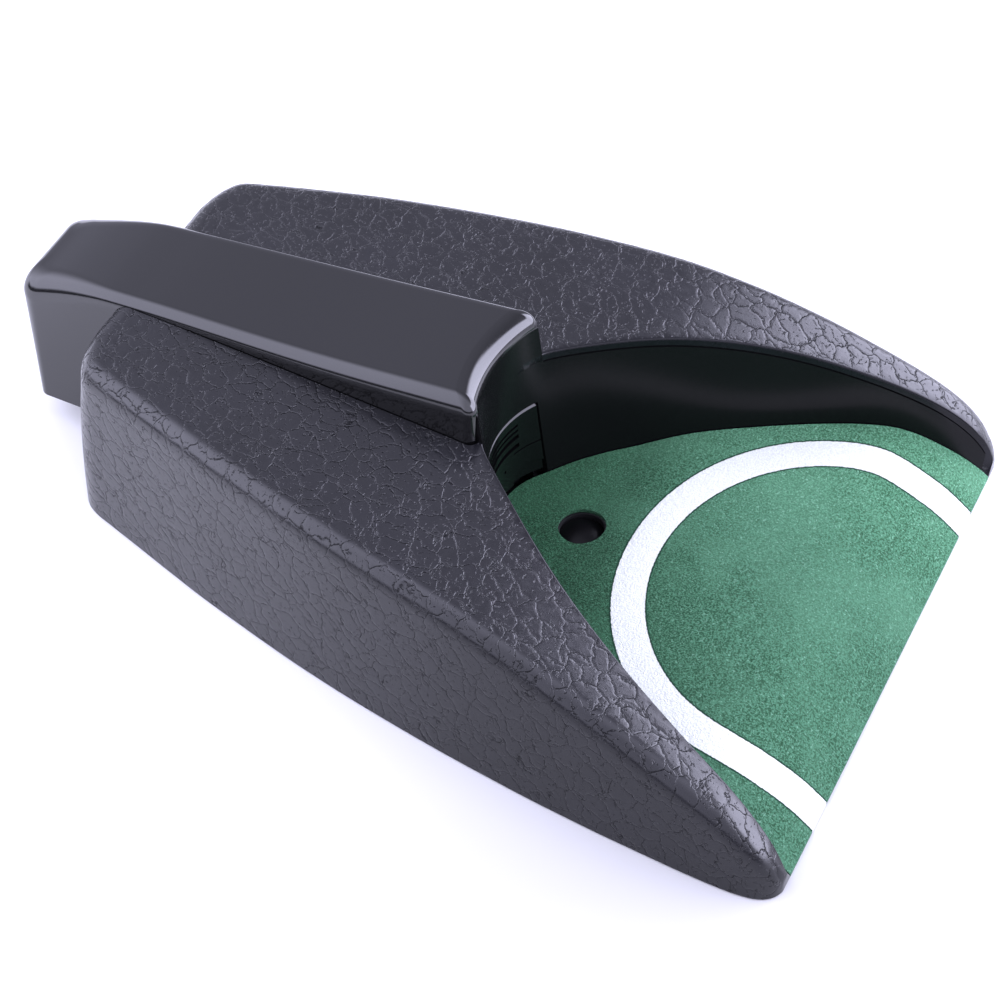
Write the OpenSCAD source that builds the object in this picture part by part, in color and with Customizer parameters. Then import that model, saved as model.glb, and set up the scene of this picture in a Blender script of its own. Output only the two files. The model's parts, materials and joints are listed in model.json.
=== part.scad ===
// Automatic putting cup: a ball rolls up the felt ramp, sits on a sprung trigger
// and a solenoid throws it back with a curved kicker plate.
// Origin: centre of the footprint, on the standing surface. +Z up, mouth faces -Y.

/* [Body] */
// Overall length, mouth edge to the back of the tail
body_l = 267; // [266.5:0.5:268]
// Moulded wall thickness of the textured shell
shell_t = 2.2; // [1.8:0.1:2.4]
// Wall thickness of the glossy cup wall
liner_t = 1.8; // [1.4:0.1:2.0]
// Radius of the soft outer edge along the top of both wings
ridge_r = 6; // [4:0.5:7]
// Radius of the long edges of the glossy spine
spine_r = 4; // [2:0.5:5]

/* [Ramp] */
// Thickness of the felt
felt_t = 1.2; // [0.8:0.1:1.5]
// Diameter of the trigger hole in the felt
hole_d = 13.7; // [12.9:0.1:15]
// Distance of the trigger hole from the mouth edge
hole_y = 95.3; // [95:0.1:96]
// How far the trigger sinks under a ball
trigger_travel = 1.7; // [1:0.1:1.7]

/* [Kicker] */
// Radius of the hollow face that meets the ball
kick_r = 22; // [21.8:0.1:22.2]
// Width of the kicker plate
kick_w = 31.6; // [30:0.1:31.8]
// Height of the kicker's upper edge
kick_top = 37.6; // [36:0.1:37.8]
// Diameter of the hinge pin
pin_d = 3; // [2.6:0.1:3]

/* [Fasteners and feet] */
// Shaft diameter of the self-tapping screws
screw_d = 2.9; // [2.5:0.1:2.9]
// Diameter of the rubber feet
foot_d = 12; // [8:0.5:14]

/* [Parts] */
// Part to draw

/* [Hidden] */
eps = 0.02;
e2 = 0.3;
base_z = 1.2;
base_t = 2;
floor_z = base_z + base_t;
pin_y = 115;
pin_z = 6.5;
sol_z = 28.5;
screw_r = screw_d / 2;
black = [0.07, 0.07, 0.08];
gloss = [0.03, 0.03, 0.035];
green = [0.08, 0.33, 0.2];
steel = [0.7, 0.7, 0.72];

// half width of the footprint, by distance from the mouth edge
foot_x = [[0, 84.5], [1, 87.2], [4, 89.6], [9, 90.7], [18, 90.5], [26, 90.1], [35, 89.4],
          [44, 88.6], [53, 87.9], [62, 86.8], [71.5, 85.8], [81, 84.4], [90.5, 83],
          [100, 81.5], [110, 79.7], [120, 77.8], [130.5, 75.7], [141, 73.3], [152, 70.6],
          [163, 67.5], [174, 64.3], [186, 60.8], [198, 56.6], [210.4, 52.3], [223, 48],
          [226.5, 46.9], [229.5, 45.6], [232, 44], [234, 41.8], [235.6, 38.6], [236.6, 34.8],
          [237.2, 30]];
// height of the wings' top
top_z = [[0, 5.5], [1, 8], [2, 10.2], [4, 13.4], [7, 17], [12, 21.3], [18, 25.2], [26, 29],
         [35, 32.8], [44, 36.4], [53, 39.8], [62, 42.9], [71.5, 45.8], [81, 48.4],
         [90.5, 50.7], [100, 52.4], [110, 53.5], [120, 54.3], [130.5, 55.2], [141, 55.9],
         [152, 56.6], [163, 57.2], [174, 57.7], [186, 58.2], [198, 58.5], [210.4, 58.6],
         [223, 58.5], [228, 58.3], [229.8, 57.9], [231.3, 57], [232.5, 55.4],
         [233.3, 53], [234.6, 46], [235.8, 34], [236.8, 15], [237.2, 3]];
// inward lean of the outer wall over its height
wall_lean = [[0, 2.5], [100, 3], [150, 2.5], [188, 1.4], [215, 0.5], [238, 0.3]];
// glossy spine: distance from the mouth, half width, height of its top
spine = [[108, 20.8, 70.4], [119, 20.8, 69.8], [130, 20.7, 68.7], [150, 20.6, 66.5],
         [168, 20.4, 64.8], [190, 19.7, 63.2], [210, 19, 61.9], [228, 18.3, 60.8],
         [238, 18.2, 59.9], [246, 18.1, 58.7], [252, 18, 57.3], [256, 17.8, 56.1],
         [259.5, 17.5, 54.9], [262, 17.1, 53.9], [264, 16.6, 52.6], [265.5, 15.9, 50.6],
         [266.4, 15.2, 47.8], [267, 14.2, 43]];
// edge radius of the spine, growing towards the tail
spine_edge = [[100, 0], [235, 0], [256, 4]];
// felt surface in profile: distance from the mouth, height
felt_z = [[0, 1.5], [4, 4.9], [8, 7.7], [12, 9.8], [16, 11.6], [22, 14.2], [28, 15.7],
          [34, 16], [45, 15.7], [60, 15.5], [74, 15.6], [81, 15.1], [88, 13.8], [94, 12.5],
          [100, 11.8], [130, 11.7]];
// cup wall, from its middle out to the nose: lower edge, then upper edge
cup_b = [[1.5, 120.3], [5.5, 119.7], [9, 118.5], [12.3, 116.6], [15.4, 114.1], [17.8, 112.3],
         [20.6, 110.4], [24.2, 107.7], [28.6, 103.4], [32.8, 98.8], [40.4, 89.4], [46.8, 79.6],
         [52.8, 69.8], [58.8, 60], [64.4, 50], [69.2, 40], [73, 30], [75.6, 20], [77.2, 12],
         [78.4, 6], [79.5, 2], [79.9, 0], [79.9, -8]];
cup_t = [[1.7, 122.6], [6, 122.2], [10, 121.4], [14, 120.2], [17.5, 118.7], [20.2, 117.1],
         [23, 114.4], [26.8, 110.2], [31.1, 105.3], [35.5, 100.3], [43.8, 90.3], [51, 80.2],
         [57, 70.2], [62.3, 60.2], [66.9, 50], [70.7, 40], [74.4, 30], [77.3, 20], [79.8, 12],
         [81.3, 6], [82.4, 2], [82.7, 0], [82.7, -8]];
n_cup = len(cup_b);

function tz(y) = lookup(y, top_z);
function fx(y) = lookup(y, foot_x);
function fz(y) = lookup(y, felt_z);

// a solid through a list of rings with equal point counts
module loft(r) {
  n = len(r); m = len(r[0]);
  polyhedron(points = [for (a = r) each a],
    faces = concat(
      [[for (i = [m - 1:-1:0]) i]],
      [for (k = [0:n - 2], i = [0:m - 1]) let (a = k * m + i, b = k * m + (i + 1) % m, c = b + m, d = a + m) each
        (i < m / 2 ? [[a, b, c], [a, c, d]] : [[a, b, d], [b, c, d]])],
      [[for (i = [0:m - 1]) (n - 1) * m + i]]), convexity = 8);
}
// ring of a drafted box section with round upper edges
function box_ring(y, xb, xt, z0, z1, r) = concat(
  [[xb, y, z0]],
  [for (a = [0:22.5:90]) [xt - r + r * cos(a), y, z1 - r + r * sin(a)]],
  [for (a = [90:-22.5:0]) [-xt + r - r * cos(a), y, z1 - r + r * sin(a)]],
  [[-xb, y, z0]]);
function wing_ring(y, d, z0) = let (z1 = tz(y) - d, x = fx(y) - d, h = z1 - z0)
  box_ring(y, x, x - min(lookup(y, wall_lean), h * 0.06), z0, z1, max(0.6, min(ridge_r - d, h * 0.5)));
module wings(d, z0, y0, y1) {
  ys = [for (s = foot_x) if (s[0] > y0 && s[0] < y1) s[0]];
  loft([for (y = concat([y0], ys, [y1])) wing_ring(y, d, z0)]);
}
function spine_row(y) = [y, lookup(y, [for (s = spine) [s[0], s[1]]]), lookup(y, [for (s = spine) [s[0], s[2]]])];
module spine_body(d, y1) {
  ys = [for (s = spine) if (s[0] < y1 - 0.3) s[0]];
  loft([for (y = concat(ys, [y1])) let (s = spine_row(y))
    box_ring(y, s[1] - d, s[1] - d, 4, s[2] - d, max(0.8, spine_r + lookup(y, spine_edge) - d))]);
}
// unit normal of the cup's plan curve, pointing away from the cup
function nrm(c, i) = let (a = c[max(0, i - 1)], b = c[min(n_cup - 1, i + 1)], v = b - a, l = norm(v))
  i == 0 ? [0, 1] : [-v[1] / l, v[0] / l];
module cup(d) {
  loft([for (i = [0:n_cup - 1])
    let (b = cup_b[i] + d * nrm(cup_b, i), t = cup_t[i] + d * nrm(cup_t, i),
         zb = fz(max(0, cup_b[i][1])), zt = tz(max(0, min(117, cup_t[i][1]))),
         B = [b[0], b[1], zb], T = [t[0], t[1], zt], L = B - 0.5 * (T - B), H = T + 0.5 * (T - B))
      [[-L[0], L[1], L[2]], [-H[0], H[1], H[2]], [H[0], H[1], H[2]], [L[0], L[1], L[2]]]]);
}
// prism across the width from a profile of [distance, height] points
module across(w, pts) {
  translate([-w / 2, 0, 0]) rotate([90, 0, 90]) linear_extrude(w) polygon(pts);
}
module at_origin() { translate([0, -body_l / 2, 0]) children(); }
module mirrored() { children(); mirror([1, 0, 0]) children(); }
module tube(r1, r0, h) { difference() { cylinder(r = r1, h = h, $fn = 48); translate([0, 0, -1]) cylinder(r = r0, h = h + 2, $fn = 48); } }
// helical wire: mean radius, wire radius, turns, height
module helix(r, w, turns, h) {
  st = 18; k = 6; n = round(turns * st);
  loft([for (i = [0:n]) let (a = i * 360 / st, z = h * i / n)
    [for (j = [0:k - 1]) let (b = j * 360 / k) [(r + w * cos(b)) * cos(a), (r + w * cos(b)) * sin(a), z + w * sin(b)]]]);
}
module pan_screw(l, z0) {
  translate([0, 0, z0]) { cylinder(r = 2.9, h = 1.6, $fn = 32); cylinder(r = screw_r, h = 1.6 + l, $fn = 24); }
}

shell_bosses = [[78, 50], [74, 96], [62, 146], [42, 204]];
cover_bosses = [[16.7, 166]];
tail_boss = [8, 251];
deck_bosses = [[45, 42], [32, 74]];
feet = [[62, 30], [56, 128], [37, 216]];

module housing_shell() color(black) at_origin() {
  difference() {
    union() {
      difference() {
        wings(0, 0.5, 0, 237.2);
        wings(shell_t, -2, 16, 234);
      }
      intersection() {
        mirrored() for (p = shell_bosses) translate([p[0], p[1], 5.2]) cylinder(r = 3.6, h = 70, $fn = 40);
        wings(0.8, 3, 16, 232);
      }
    }
    cup(0);
    // slot that the spine stands in
    intersection() {
      spine_body(-0.25, 267);
      across(60, [[100, 70], [100, 40], [231, 40], [231, 9], [241, 9], [241, 70]]);
    }
    mirrored() for (p = shell_bosses) translate([p[0], p[1], 5]) cylinder(r = screw_r + 0.05, h = 14, $fn = 32);
  }
}

module spine_cover() color(gloss) at_origin() {
  difference() {
    union() {
      difference() {
        spine_body(0, 267);
        spine_body(2.2, 263.2);
      }
      intersection() { spine_body(0.2, 266); cup(2.4); translate([-30, 100, 62.8]) cube([60, 60, 20]); }
      intersection() {
        union() {
          mirrored() for (p = cover_bosses) translate([p[0], p[1], 5.2]) cylinder(r = 3, h = 70, $fn = 40);
          mirrored() translate([tail_boss[0], tail_boss[1], 13.5]) cylinder(r = 3.2, h = 60, $fn = 40);
        }
        spine_body(0.8, 266);
      }
    }
    cup(0);
    // lean of the tail's back face
    across(60, [[265.4, 0], [267.2, 46], [280, 46], [280, 0]]);
    // everything under the wings' top, leaving only the tail to reach down
    difference() {
      across(60, concat([[100, -5]], [for (y = [100:10:220]) [y, tz(y) - 1.4]], [[237.5, tz(222) - 1.4], [237.5, 9.5], [270, 9.5], [270, -5]]));
      mirrored() for (p = cover_bosses) translate([p[0], p[1], 5.2]) cylinder(r = 3, h = 70, $fn = 40);
    }
    mirrored() for (p = cover_bosses) translate([p[0], p[1], 5]) cylinder(r = screw_r + 0.05, h = 14, $fn = 32);
    mirrored() translate([tail_boss[0], tail_boss[1], 13]) cylinder(r = screw_r + 0.05, h = 12, $fn = 32);
  }
}

module cup_liner() color(gloss) at_origin() {
  difference() {
    intersection() {
      cup(liner_t);
      union() {
        wings(shell_t + 0.2, 3.3, 16.4, 231);
        intersection() { spine_body(2.4, 263); translate([-30, 100, 40]) cube([60, 60, 22.6]); }
      }
    }
    cup(0);
    // window of the kicker
    translate([-16.3, 105, 0]) cube([32.6, 25, 38.3]);
    // room for the posts of the hinge pin
    translate([-21.2, 105, 0]) cube([42.4, 25, 10.2]);
  }
}

module base_outline(d) {
  ys = [for (s = foot_x) if (s[0] > 16.4 && s[0] < 228) s];
  r = concat([[16.4, fx(16.4)]], ys, [[229.5, 45], [232.6, 41.5]]);
  polygon(concat([for (s = r) [s[1] - d, s[0]]], [for (i = [len(r) - 1:-1:0]) [-r[i][1] + d, r[i][0]]]));
}
module base_plate() color(black) at_origin() {
  difference() {
    union() {
      translate([0, 0, base_z]) linear_extrude(base_t) base_outline(2.9);
      mirrored() for (p = concat(shell_bosses, cover_bosses, deck_bosses)) translate([p[0], p[1], base_z]) cylinder(r = 4.4, h = 3.9, $fn = 40);
      // tongue that closes the tail
      translate([-11.5, 231.1, base_z + 0.5]) cube([23, 1.5, 11]);
      translate([-11.5, 231.1, 9.7]) cube([23, 31.5, 3.6]);
      // saddle of the solenoid
      mirrored() translate([8.2, 138, floor_z - 0.1]) cube([2.2, 33, 15 - floor_z + 0.1]);
      // posts of the hinge pin
      mirrored() translate([17.6, 111.5, floor_z - 0.1]) cube([3, 7, 6.8]);
      // posts of the circuit board
      for (x = [-54, -37], y = [134, 176]) translate([x, y, floor_z - 0.1]) cylinder(r = 2.6, h = 8.9, $fn = 32);
    }
    mirrored() for (p = concat(shell_bosses, cover_bosses, deck_bosses)) translate([p[0], p[1], 0]) {
      cylinder(r = 3.2, h = 3.2, $fn = 40);
      cylinder(r = screw_r + 0.2, h = 9, $fn = 32);
    }
    mirrored() translate([tail_boss[0], tail_boss[1], 9]) { cylinder(r = 3.1, h = 2.5, $fn = 40); cylinder(r = screw_r + 0.2, h = 9, $fn = 32); }
    translate([-25, pin_y, pin_z]) rotate([0, 90, 0]) cylinder(r = pin_d / 2 + 0.05, h = 50, $fn = 40);
    translate([-29.4, 179.4, 0]) cube([58.8, 48.4, 6]);
    // slot of the power switch
    translate([44, 147, 0]) cube([6, 11, 6]);
    for (x = [-54, -37], y = [134, 176]) translate([x, y, 6]) cylinder(r = 1.25, h = 8, $fn = 24);
    mirrored() for (y = [144, 166]) translate([9.3, y, 8]) cylinder(r = 1.05, h = 8, $fn = 24);
  }
}

module ramp_deck() color(black) at_origin() {
  ys = [for (s = felt_z) if (s[0] > 1 && s[0] < 125) s[0]];
  top = concat([1], ys, [125]);
  difference() {
    intersection() {
      cup(-0.35);
      union() {
        across(170, concat([[1, 0.8]], [for (y = top) [y, fz(y) - felt_t]], [[125, 8.4]],
          [for (i = [len(top) - 2:-1:4]) [top[i], fz(top[i]) - felt_t - 2]], [[16.4, 5.2], [16.2, 0.8]]));
        mirrored() for (x = [22, 48]) translate([x, 17, floor_z + eps]) cube([1.6, 80, 6]);
        intersection() {
          mirrored() for (p = deck_bosses) translate([p[0], p[1], 5.2]) cylinder(r = 3.4, h = 12, $fn = 40);
          across(170, concat([[17, 0]], [for (y = [17:10:117]) [y, fz(y) - felt_t - 1]], [[117, 0]]));
        }
        mirrored() for (x = [22, 48]) intersection() {
          translate([x, 17, floor_z + eps]) cube([1.6, 80, 20]);
          across(170, concat([[17, 0]], [for (y = [17:5:97]) [y, fz(y) - felt_t - 1]], [[97, 0]]));
        }
      }
    }
    translate([0, hole_y, 0]) cylinder(d = 12.8, h = 30, $fn = 64);
    mirrored() translate([12, 111, 0]) cube([9.2, 20, 30]);
    translate([-22, pin_y, pin_z]) rotate([0, 90, 0]) cylinder(r = 3.1, h = 44, $fn = 40);
    mirrored() for (p = deck_bosses) translate([p[0], p[1], 5]) cylinder(r = screw_r + 0.05, h = 6.5, $fn = 32);
  }
}

module felt_mat() color(green) at_origin() {
  top = [for (s = felt_z) if (s[0] < 125) s[0]];
  difference() {
    intersection() {
      cup(-0.4);
      across(170, concat([for (y = top) [y, fz(y)]], [[125, fz(125)], [125, fz(125) - felt_t + eps]],
        [for (i = [len(top) - 1:-1:0]) [top[i], fz(top[i]) - felt_t + eps]]));
    }
    translate([0, hole_y, 0]) cylinder(d = hole_d, h = 30, $fn = 64);
    mirrored() translate([11.8, 112.2, 0]) cube([9.6, 20, 30]);
  }
}

module kicker_plate() color(gloss) at_origin() {
  difference() {
    union() {
      intersection() {
        translate([0, hole_y + 3.1, 13]) tube(kick_r + 2.5, kick_r, kick_top - 13);
        translate([-kick_w / 2, hole_y + 8, 0]) cube([kick_w, 30, 60]);
      }
      mirrored() translate([12.7, 0, 0]) rotate([90, 0, 90]) linear_extrude(2.6)
        polygon([[116.3, 24], [119.4, 24], [118.2, 14], [117.7, 7.2], [112.6, 7.2], [113.6, 9.4], [116.3, 15]]);
      mirrored() translate([12.7, pin_y, pin_z]) rotate([0, 90, 0]) cylinder(r = 2.9, h = 2.6, $fn = 48);
    }
    translate([-25, pin_y, pin_z]) rotate([0, 90, 0]) cylinder(r = pin_d / 2 + 0.05, h = 50, $fn = 48);
    // recess of the grille, with its ribs left standing
    difference() {
      intersection() {
        translate([0, hole_y + 3.1, 0]) tube(kick_r + 0.9, kick_r - 2, 60);
        translate([-9.3, hole_y + 8, 25.6]) cube([18.6, 30, 9.4]);
      }
      for (z = [27.2, 29.6, 32]) translate([-12, hole_y + 5, z]) cube([24, 40, 1.1]);
    }
  }
}

module kicker_pin() color(steel) at_origin() {
  translate([-20.4, pin_y, pin_z]) rotate([0, 90, 0]) cylinder(r = pin_d / 2, h = 40.8, $fn = 48);
}

module kicker_spring() color(steel) at_origin() {
  translate([-11.6, pin_y, pin_z]) rotate([0, 90, 0]) helix(2.15, 0.4, 5, 5);
}

module solenoid_frame() color(steel) at_origin() {
  difference() {
    union() {
      translate([-12.5, 137.2, 15 + eps]) cube([25, 1.8, 26]);
      translate([-12.5, 173, 15 + eps]) cube([25, 1.8, 26]);
      translate([-12.5, 137.2, 15 + eps]) cube([25, 37.6, 1.5]);
    }
    translate([0, 130, sol_z]) rotate([-90, 0, 0]) cylinder(r = 1.7, h = 12, $fn = 40);
    translate([0, 170, sol_z]) rotate([-90, 0, 0]) cylinder(r = 5.1, h = 12, $fn = 64);
    for (y = [144, 166]) mirrored() translate([9.3, y, 10]) cylinder(r = 1.05, h = 10, $fn = 24);
  }
}

module solenoid_coil() color([0.62, 0.3, 0.13]) at_origin() {
  translate([0, 139.05, sol_z]) rotate([-90, 0, 0]) difference() {
    union() {
      cylinder(r = 10.6, h = 33.9, $fn = 64);
      cylinder(r = 11.8, h = 1.4, $fn = 64);
      translate([0, 0, 32.5]) cylinder(r = 11.8, h = 1.4, $fn = 64);
    }
    translate([0, 0, -1]) cylinder(r = 5.1, h = 40, $fn = 64);
  }
}

module solenoid_core() color(steel) at_origin() {
  translate([0, 0, sol_z]) rotate([-90, 0, 0]) {
    translate([0, 0, 124.8]) sphere(r = 1.6, $fn = 40);
    translate([0, 0, 124.8]) cylinder(r = 1.6, h = 25, $fn = 40);
    translate([0, 0, 147]) cylinder(r = 5.02, h = 36, $fn = 64);
    translate([0, 0, 182.6]) cylinder(r = 7, h = 2.4, $fn = 64);
  }
}

module trigger_cap() color([0.1, 0.1, 0.11]) at_origin() {
  translate([0, hole_y, 0]) {
    difference() {
      union() {
        translate([0, 0, 8]) cylinder(d = 12.4, h = 2, $fn = 64);
        intersection() {
          translate([0, 0, -5.2]) sphere(r = 16.4, $fn = 64);
          translate([0, 0, 9.5]) cylinder(d = 12.4, h = 4, $fn = 64);
        }
      }
      translate([0, 0, 7]) cylinder(d = 10.6, h = 2, $fn = 64);
    }
    translate([0, 0, 7]) cylinder(r = 2, h = 2.5, $fn = 32);
  }
}

module trigger_spring() color(steel) at_origin() {
  translate([0, hole_y, 3.75]) helix(4.7, 0.4, 4, 4.8);
}

module trigger_switch() color([0.12, 0.12, 0.13]) at_origin() {
  difference() {
    translate([-3, hole_y - 3, floor_z + eps]) cube([6, 6, 1.9]);
    translate([0, hole_y, 3.4]) cylinder(r = 1.6, h = 5, $fn = 32);
  }
}

module switch_button() color([0.75, 0.72, 0.6]) at_origin() {
  translate([0, hole_y, 5.15]) cylinder(r = 1.5, h = 1.84, $fn = 32);
}

module circuit_board() color([0.1, 0.35, 0.18]) at_origin() {
  difference() {
    translate([-57, 130, 12.02]) cube([23, 50, 1.6]);
    for (x = [-54, -37], y = [134, 176]) translate([x, y, 10]) cylinder(r = 1.35, h = 6, $fn = 24);
  }
}
module storage_capacitor() color([0.12, 0.15, 0.3]) at_origin() {
  translate([-45.5, 146, 13.64]) cylinder(r = 8, h = 25, $fn = 48);
}
module relay() color([0.15, 0.25, 0.5]) at_origin() {
  translate([-53, 159, 13.64]) cube([15, 12, 15]);
}

module battery_tray() color(black) at_origin() {
  difference() {
    translate([-31.7, 175, floor_z + eps]) cube([63.4, 55.8, 16]);
    translate([-30.3, 176.4, 0]) cube([60.6, 53, 18.4]);
  }
}
module battery_cells() color([0.72, 0.55, 0.2]) at_origin() {
  for (i = [0:3]) translate([-22.2 + 14.8 * i, 178, 10.9]) rotate([-90, 0, 0]) {
    cylinder(r = 7.1, h = 49, $fn = 48);
    cylinder(r = 2.7, h = 49.8, $fn = 32);
  }
}
module battery_contacts() color(steel) at_origin() {
  for (y = [176.6, 228.6]) for (x = [-27.5, 2.1]) translate([x, y, 5]) cube([25.4, 0.5, 12]);
}
module battery_door() color(black) at_origin() {
  difference() {
    translate([-29.2, 179.6, base_z]) cube([58.4, 48, 1.8]);
    translate([0, 183.5, 0]) cylinder(r = 1.5, h = 6, $fn = 24);
    translate([0, 183.5, 0]) cylinder(r = 2.6, h = 2, $fn = 32);
  }
}

module power_switch() color([0.15, 0.15, 0.16]) at_origin() {
  difference() {
    translate([41, 143, floor_z + eps]) cube([12, 19, 6]);
    translate([44.2, 147.2, 0]) cube([5.6, 10.6, 6.5]);
  }
}
module power_slider() color([0.75, 0.75, 0.76]) at_origin() {
  translate([44.4, 148, 0.8]) cube([5.2, 5, 5.2]);
}

module rubber_feet() color([0.05, 0.05, 0.05]) at_origin() {
  mirrored() for (p = feet) translate([p[0], p[1], 0]) cylinder(d = foot_d, h = base_z - 0.01, $fn = 48);
}
module housing_screws() color(steel) at_origin() { mirrored() for (p = shell_bosses) translate([p[0], p[1], 0]) pan_screw(12, 1.55); }
module cover_screws() color(steel) at_origin() {
  mirrored() for (p = cover_bosses) translate([p[0], p[1], 0]) pan_screw(12, 1.55);
  mirrored() translate([tail_boss[0], tail_boss[1], 0]) pan_screw(10, 9.85);
}
module deck_screws() color(steel) at_origin() { mirrored() for (p = deck_bosses) translate([p[0], p[1], 0]) pan_screw(7, 1.55); }
module solenoid_screws() color(steel) at_origin() {
  mirrored() for (y = [144, 166]) translate([9.3, y, 0]) { translate([0, 0, 16.6]) cylinder(r = 1.7, h = 1, $fn = 24); translate([0, 0, 11]) cylinder(r = 1, h = 6, $fn = 24); }
}
module board_screws() color(steel) at_origin() {
  for (x = [-54, -37], y = [134, 176]) translate([x, y, 0]) { translate([0, 0, 13.66]) cylinder(r = 2.3, h = 1.2, $fn = 24); translate([0, 0, 7.5]) cylinder(r = 1.2, h = 6.5, $fn = 24); }
}
module door_screw() color(steel) at_origin() {
  translate([0, 183.5, 0]) { translate([0, 0, 1.3]) cylinder(r = 2.4, h = 0.65, $fn = 32); translate([0, 0, 1.3]) cylinder(r = 1.4, h = 1.9, $fn = 24); }
}

housing_shell();
spine_cover();
cup_liner();
base_plate();
ramp_deck();
felt_mat();
kicker_plate();
kicker_pin();
kicker_spring();
solenoid_frame();
solenoid_coil();
solenoid_core();
trigger_cap();
trigger_spring();
trigger_switch();
switch_button();
circuit_board();
storage_capacitor();
relay();
battery_tray();
battery_cells();
battery_contacts();
battery_door();
power_switch();
power_slider();
rubber_feet();
housing_screws();
cover_screws();
deck_screws();
solenoid_screws();
board_screws();
door_screw();
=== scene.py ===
import json
import math
import bpy
import bmesh
import numpy as np
from mathutils import Matrix, Vector

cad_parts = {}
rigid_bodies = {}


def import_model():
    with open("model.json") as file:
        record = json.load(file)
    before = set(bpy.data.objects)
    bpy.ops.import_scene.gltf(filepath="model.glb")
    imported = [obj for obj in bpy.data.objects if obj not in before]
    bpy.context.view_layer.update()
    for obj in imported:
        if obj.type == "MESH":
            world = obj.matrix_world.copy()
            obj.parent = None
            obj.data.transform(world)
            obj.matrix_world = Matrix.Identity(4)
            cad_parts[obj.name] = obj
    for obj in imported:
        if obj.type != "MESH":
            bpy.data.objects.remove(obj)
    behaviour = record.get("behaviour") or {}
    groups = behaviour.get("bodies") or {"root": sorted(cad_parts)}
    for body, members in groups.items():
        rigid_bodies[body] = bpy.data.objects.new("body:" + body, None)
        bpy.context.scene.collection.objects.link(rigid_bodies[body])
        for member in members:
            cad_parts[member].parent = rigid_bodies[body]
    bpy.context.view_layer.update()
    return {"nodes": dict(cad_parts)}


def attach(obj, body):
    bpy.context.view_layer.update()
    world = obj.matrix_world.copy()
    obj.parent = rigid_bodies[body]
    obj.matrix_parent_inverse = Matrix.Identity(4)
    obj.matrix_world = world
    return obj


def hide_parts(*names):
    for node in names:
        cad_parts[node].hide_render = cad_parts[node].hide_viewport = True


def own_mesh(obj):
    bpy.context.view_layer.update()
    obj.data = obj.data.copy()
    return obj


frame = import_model()
nodes = frame["nodes"]
OFF = 133.5           # mm from the mouth edge to the row origin


# ------------------------------------------------------------------ helpers
def obj_from(name, verts, faces):
    """verts in mm, y counted from the mouth edge"""
    v = (np.asarray(verts, float) - [0, OFF, 0]) * 0.001
    me = bpy.data.meshes.new(name)
    me.from_pydata(v.tolist(), [], [tuple(int(i) for i in f) for f in faces])
    me.update()
    ob = bpy.data.objects.new(name, me)
    bpy.context.scene.collection.objects.link(ob)
    return ob


def weld(ob, dist=2e-6):
    bm = bmesh.new()
    bm.from_mesh(ob.data)
    bmesh.ops.remove_doubles(bm, verts=bm.verts, dist=dist)
    bmesh.ops.dissolve_degenerate(bm, edges=bm.edges, dist=1e-7)
    bmesh.ops.recalc_face_normals(bm, faces=bm.faces)
    bm.to_mesh(ob.data)
    bm.free()
    ob.data.update()
    return ob


def grids(name, parts, ngons=()):
    """closed solid from grids of points that share their borders"""
    V, F = [], []
    n0 = 0
    for g in parts:
        g = np.asarray(g, float)
        m, n = g.shape[:2]
        V.append(g.reshape(-1, 3))
        a = (np.arange(m - 1)[:, None] * n + np.arange(n - 1)[None, :]).ravel() + n0
        F += np.stack([a, a + 1, a + n + 1, a + n], 1).tolist()
        n0 += m * n
    for p in ngons:
        p = np.asarray(p, float)
        V.append(p)
        F.append(list(range(n0, n0 + len(p))))
        n0 += len(p)
    return weld(obj_from(name, np.concatenate(V), F))


def rings(name, R, caps=True, closed=False):
    """closed tube through rings of points"""
    R = np.asarray(R, float)
    n, m = R.shape[:2]
    F = []
    for k in range(n if closed else n - 1):
        a, b = k * m, ((k + 1) % n) * m
        F += [(a + i, a + (i + 1) % m, b + (i + 1) % m, b + i) for i in range(m)]
    if caps and not closed:
        F += [tuple(range(m)), tuple(range((n - 1) * m, n * m))]
    ob = obj_from(name, R.reshape(-1, 3), F)
    bm = bmesh.new(); bm.from_mesh(ob.data)
    bmesh.ops.recalc_face_normals(bm, faces=bm.faces)
    bm.to_mesh(ob.data); bm.free()
    return ob


def box3(name, x0, x1, y0, y1, z0, z1):
    v = [(x, y, z) for x in (x0, x1) for y in (y0, y1) for z in (z0, z1)]
    f = [(0, 1, 3, 2), (4, 6, 7, 5), (0, 4, 5, 1), (2, 3, 7, 6), (0, 2, 6, 4), (1, 5, 7, 3)]
    return weld(obj_from(name, v, f))


def prism_x(name, w, pts):
    """prism across the width from a profile of (y, z) points"""
    R = [[(x, p[0], p[1]) for p in pts] for x in (-w / 2, w / 2)]
    return rings(name, R)


def cyl(name, p, axis, r, h, n=48):
    """cylinder from p along axis 0, 1 or 2"""
    a = np.arange(n) * 2 * math.pi / n
    R = []
    for t in (0, h):
        q = np.zeros((n, 3)) + p
        u, v = [(1, 2), (2, 0), (0, 1)][axis]
        q[:, u] += r * np.cos(a); q[:, v] += r * np.sin(a); q[:, axis] += t
        R.append(q)
    return rings(name, R)


def drop(ob):
    me = ob.data
    bpy.data.objects.remove(ob)
    if me.users == 0:
        bpy.data.meshes.remove(me)


def boolean(a, b, op="DIFFERENCE", keep=False):
    for solver in ("MANIFOLD", "EXACT"):
        m = a.modifiers.new("b", "BOOLEAN")
        m.operation = op
        m.object = b
        m.solver = solver
        bpy.context.view_layer.update()
        dg = bpy.context.evaluated_depsgraph_get()
        me = bpy.data.meshes.new_from_object(a.evaluated_get(dg))
        a.modifiers.remove(m)
        if len(me.polygons) > 3:
            break
    old = a.data
    a.data = me
    bpy.data.meshes.remove(old)
    if not keep:
        drop(b)
    return a


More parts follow.
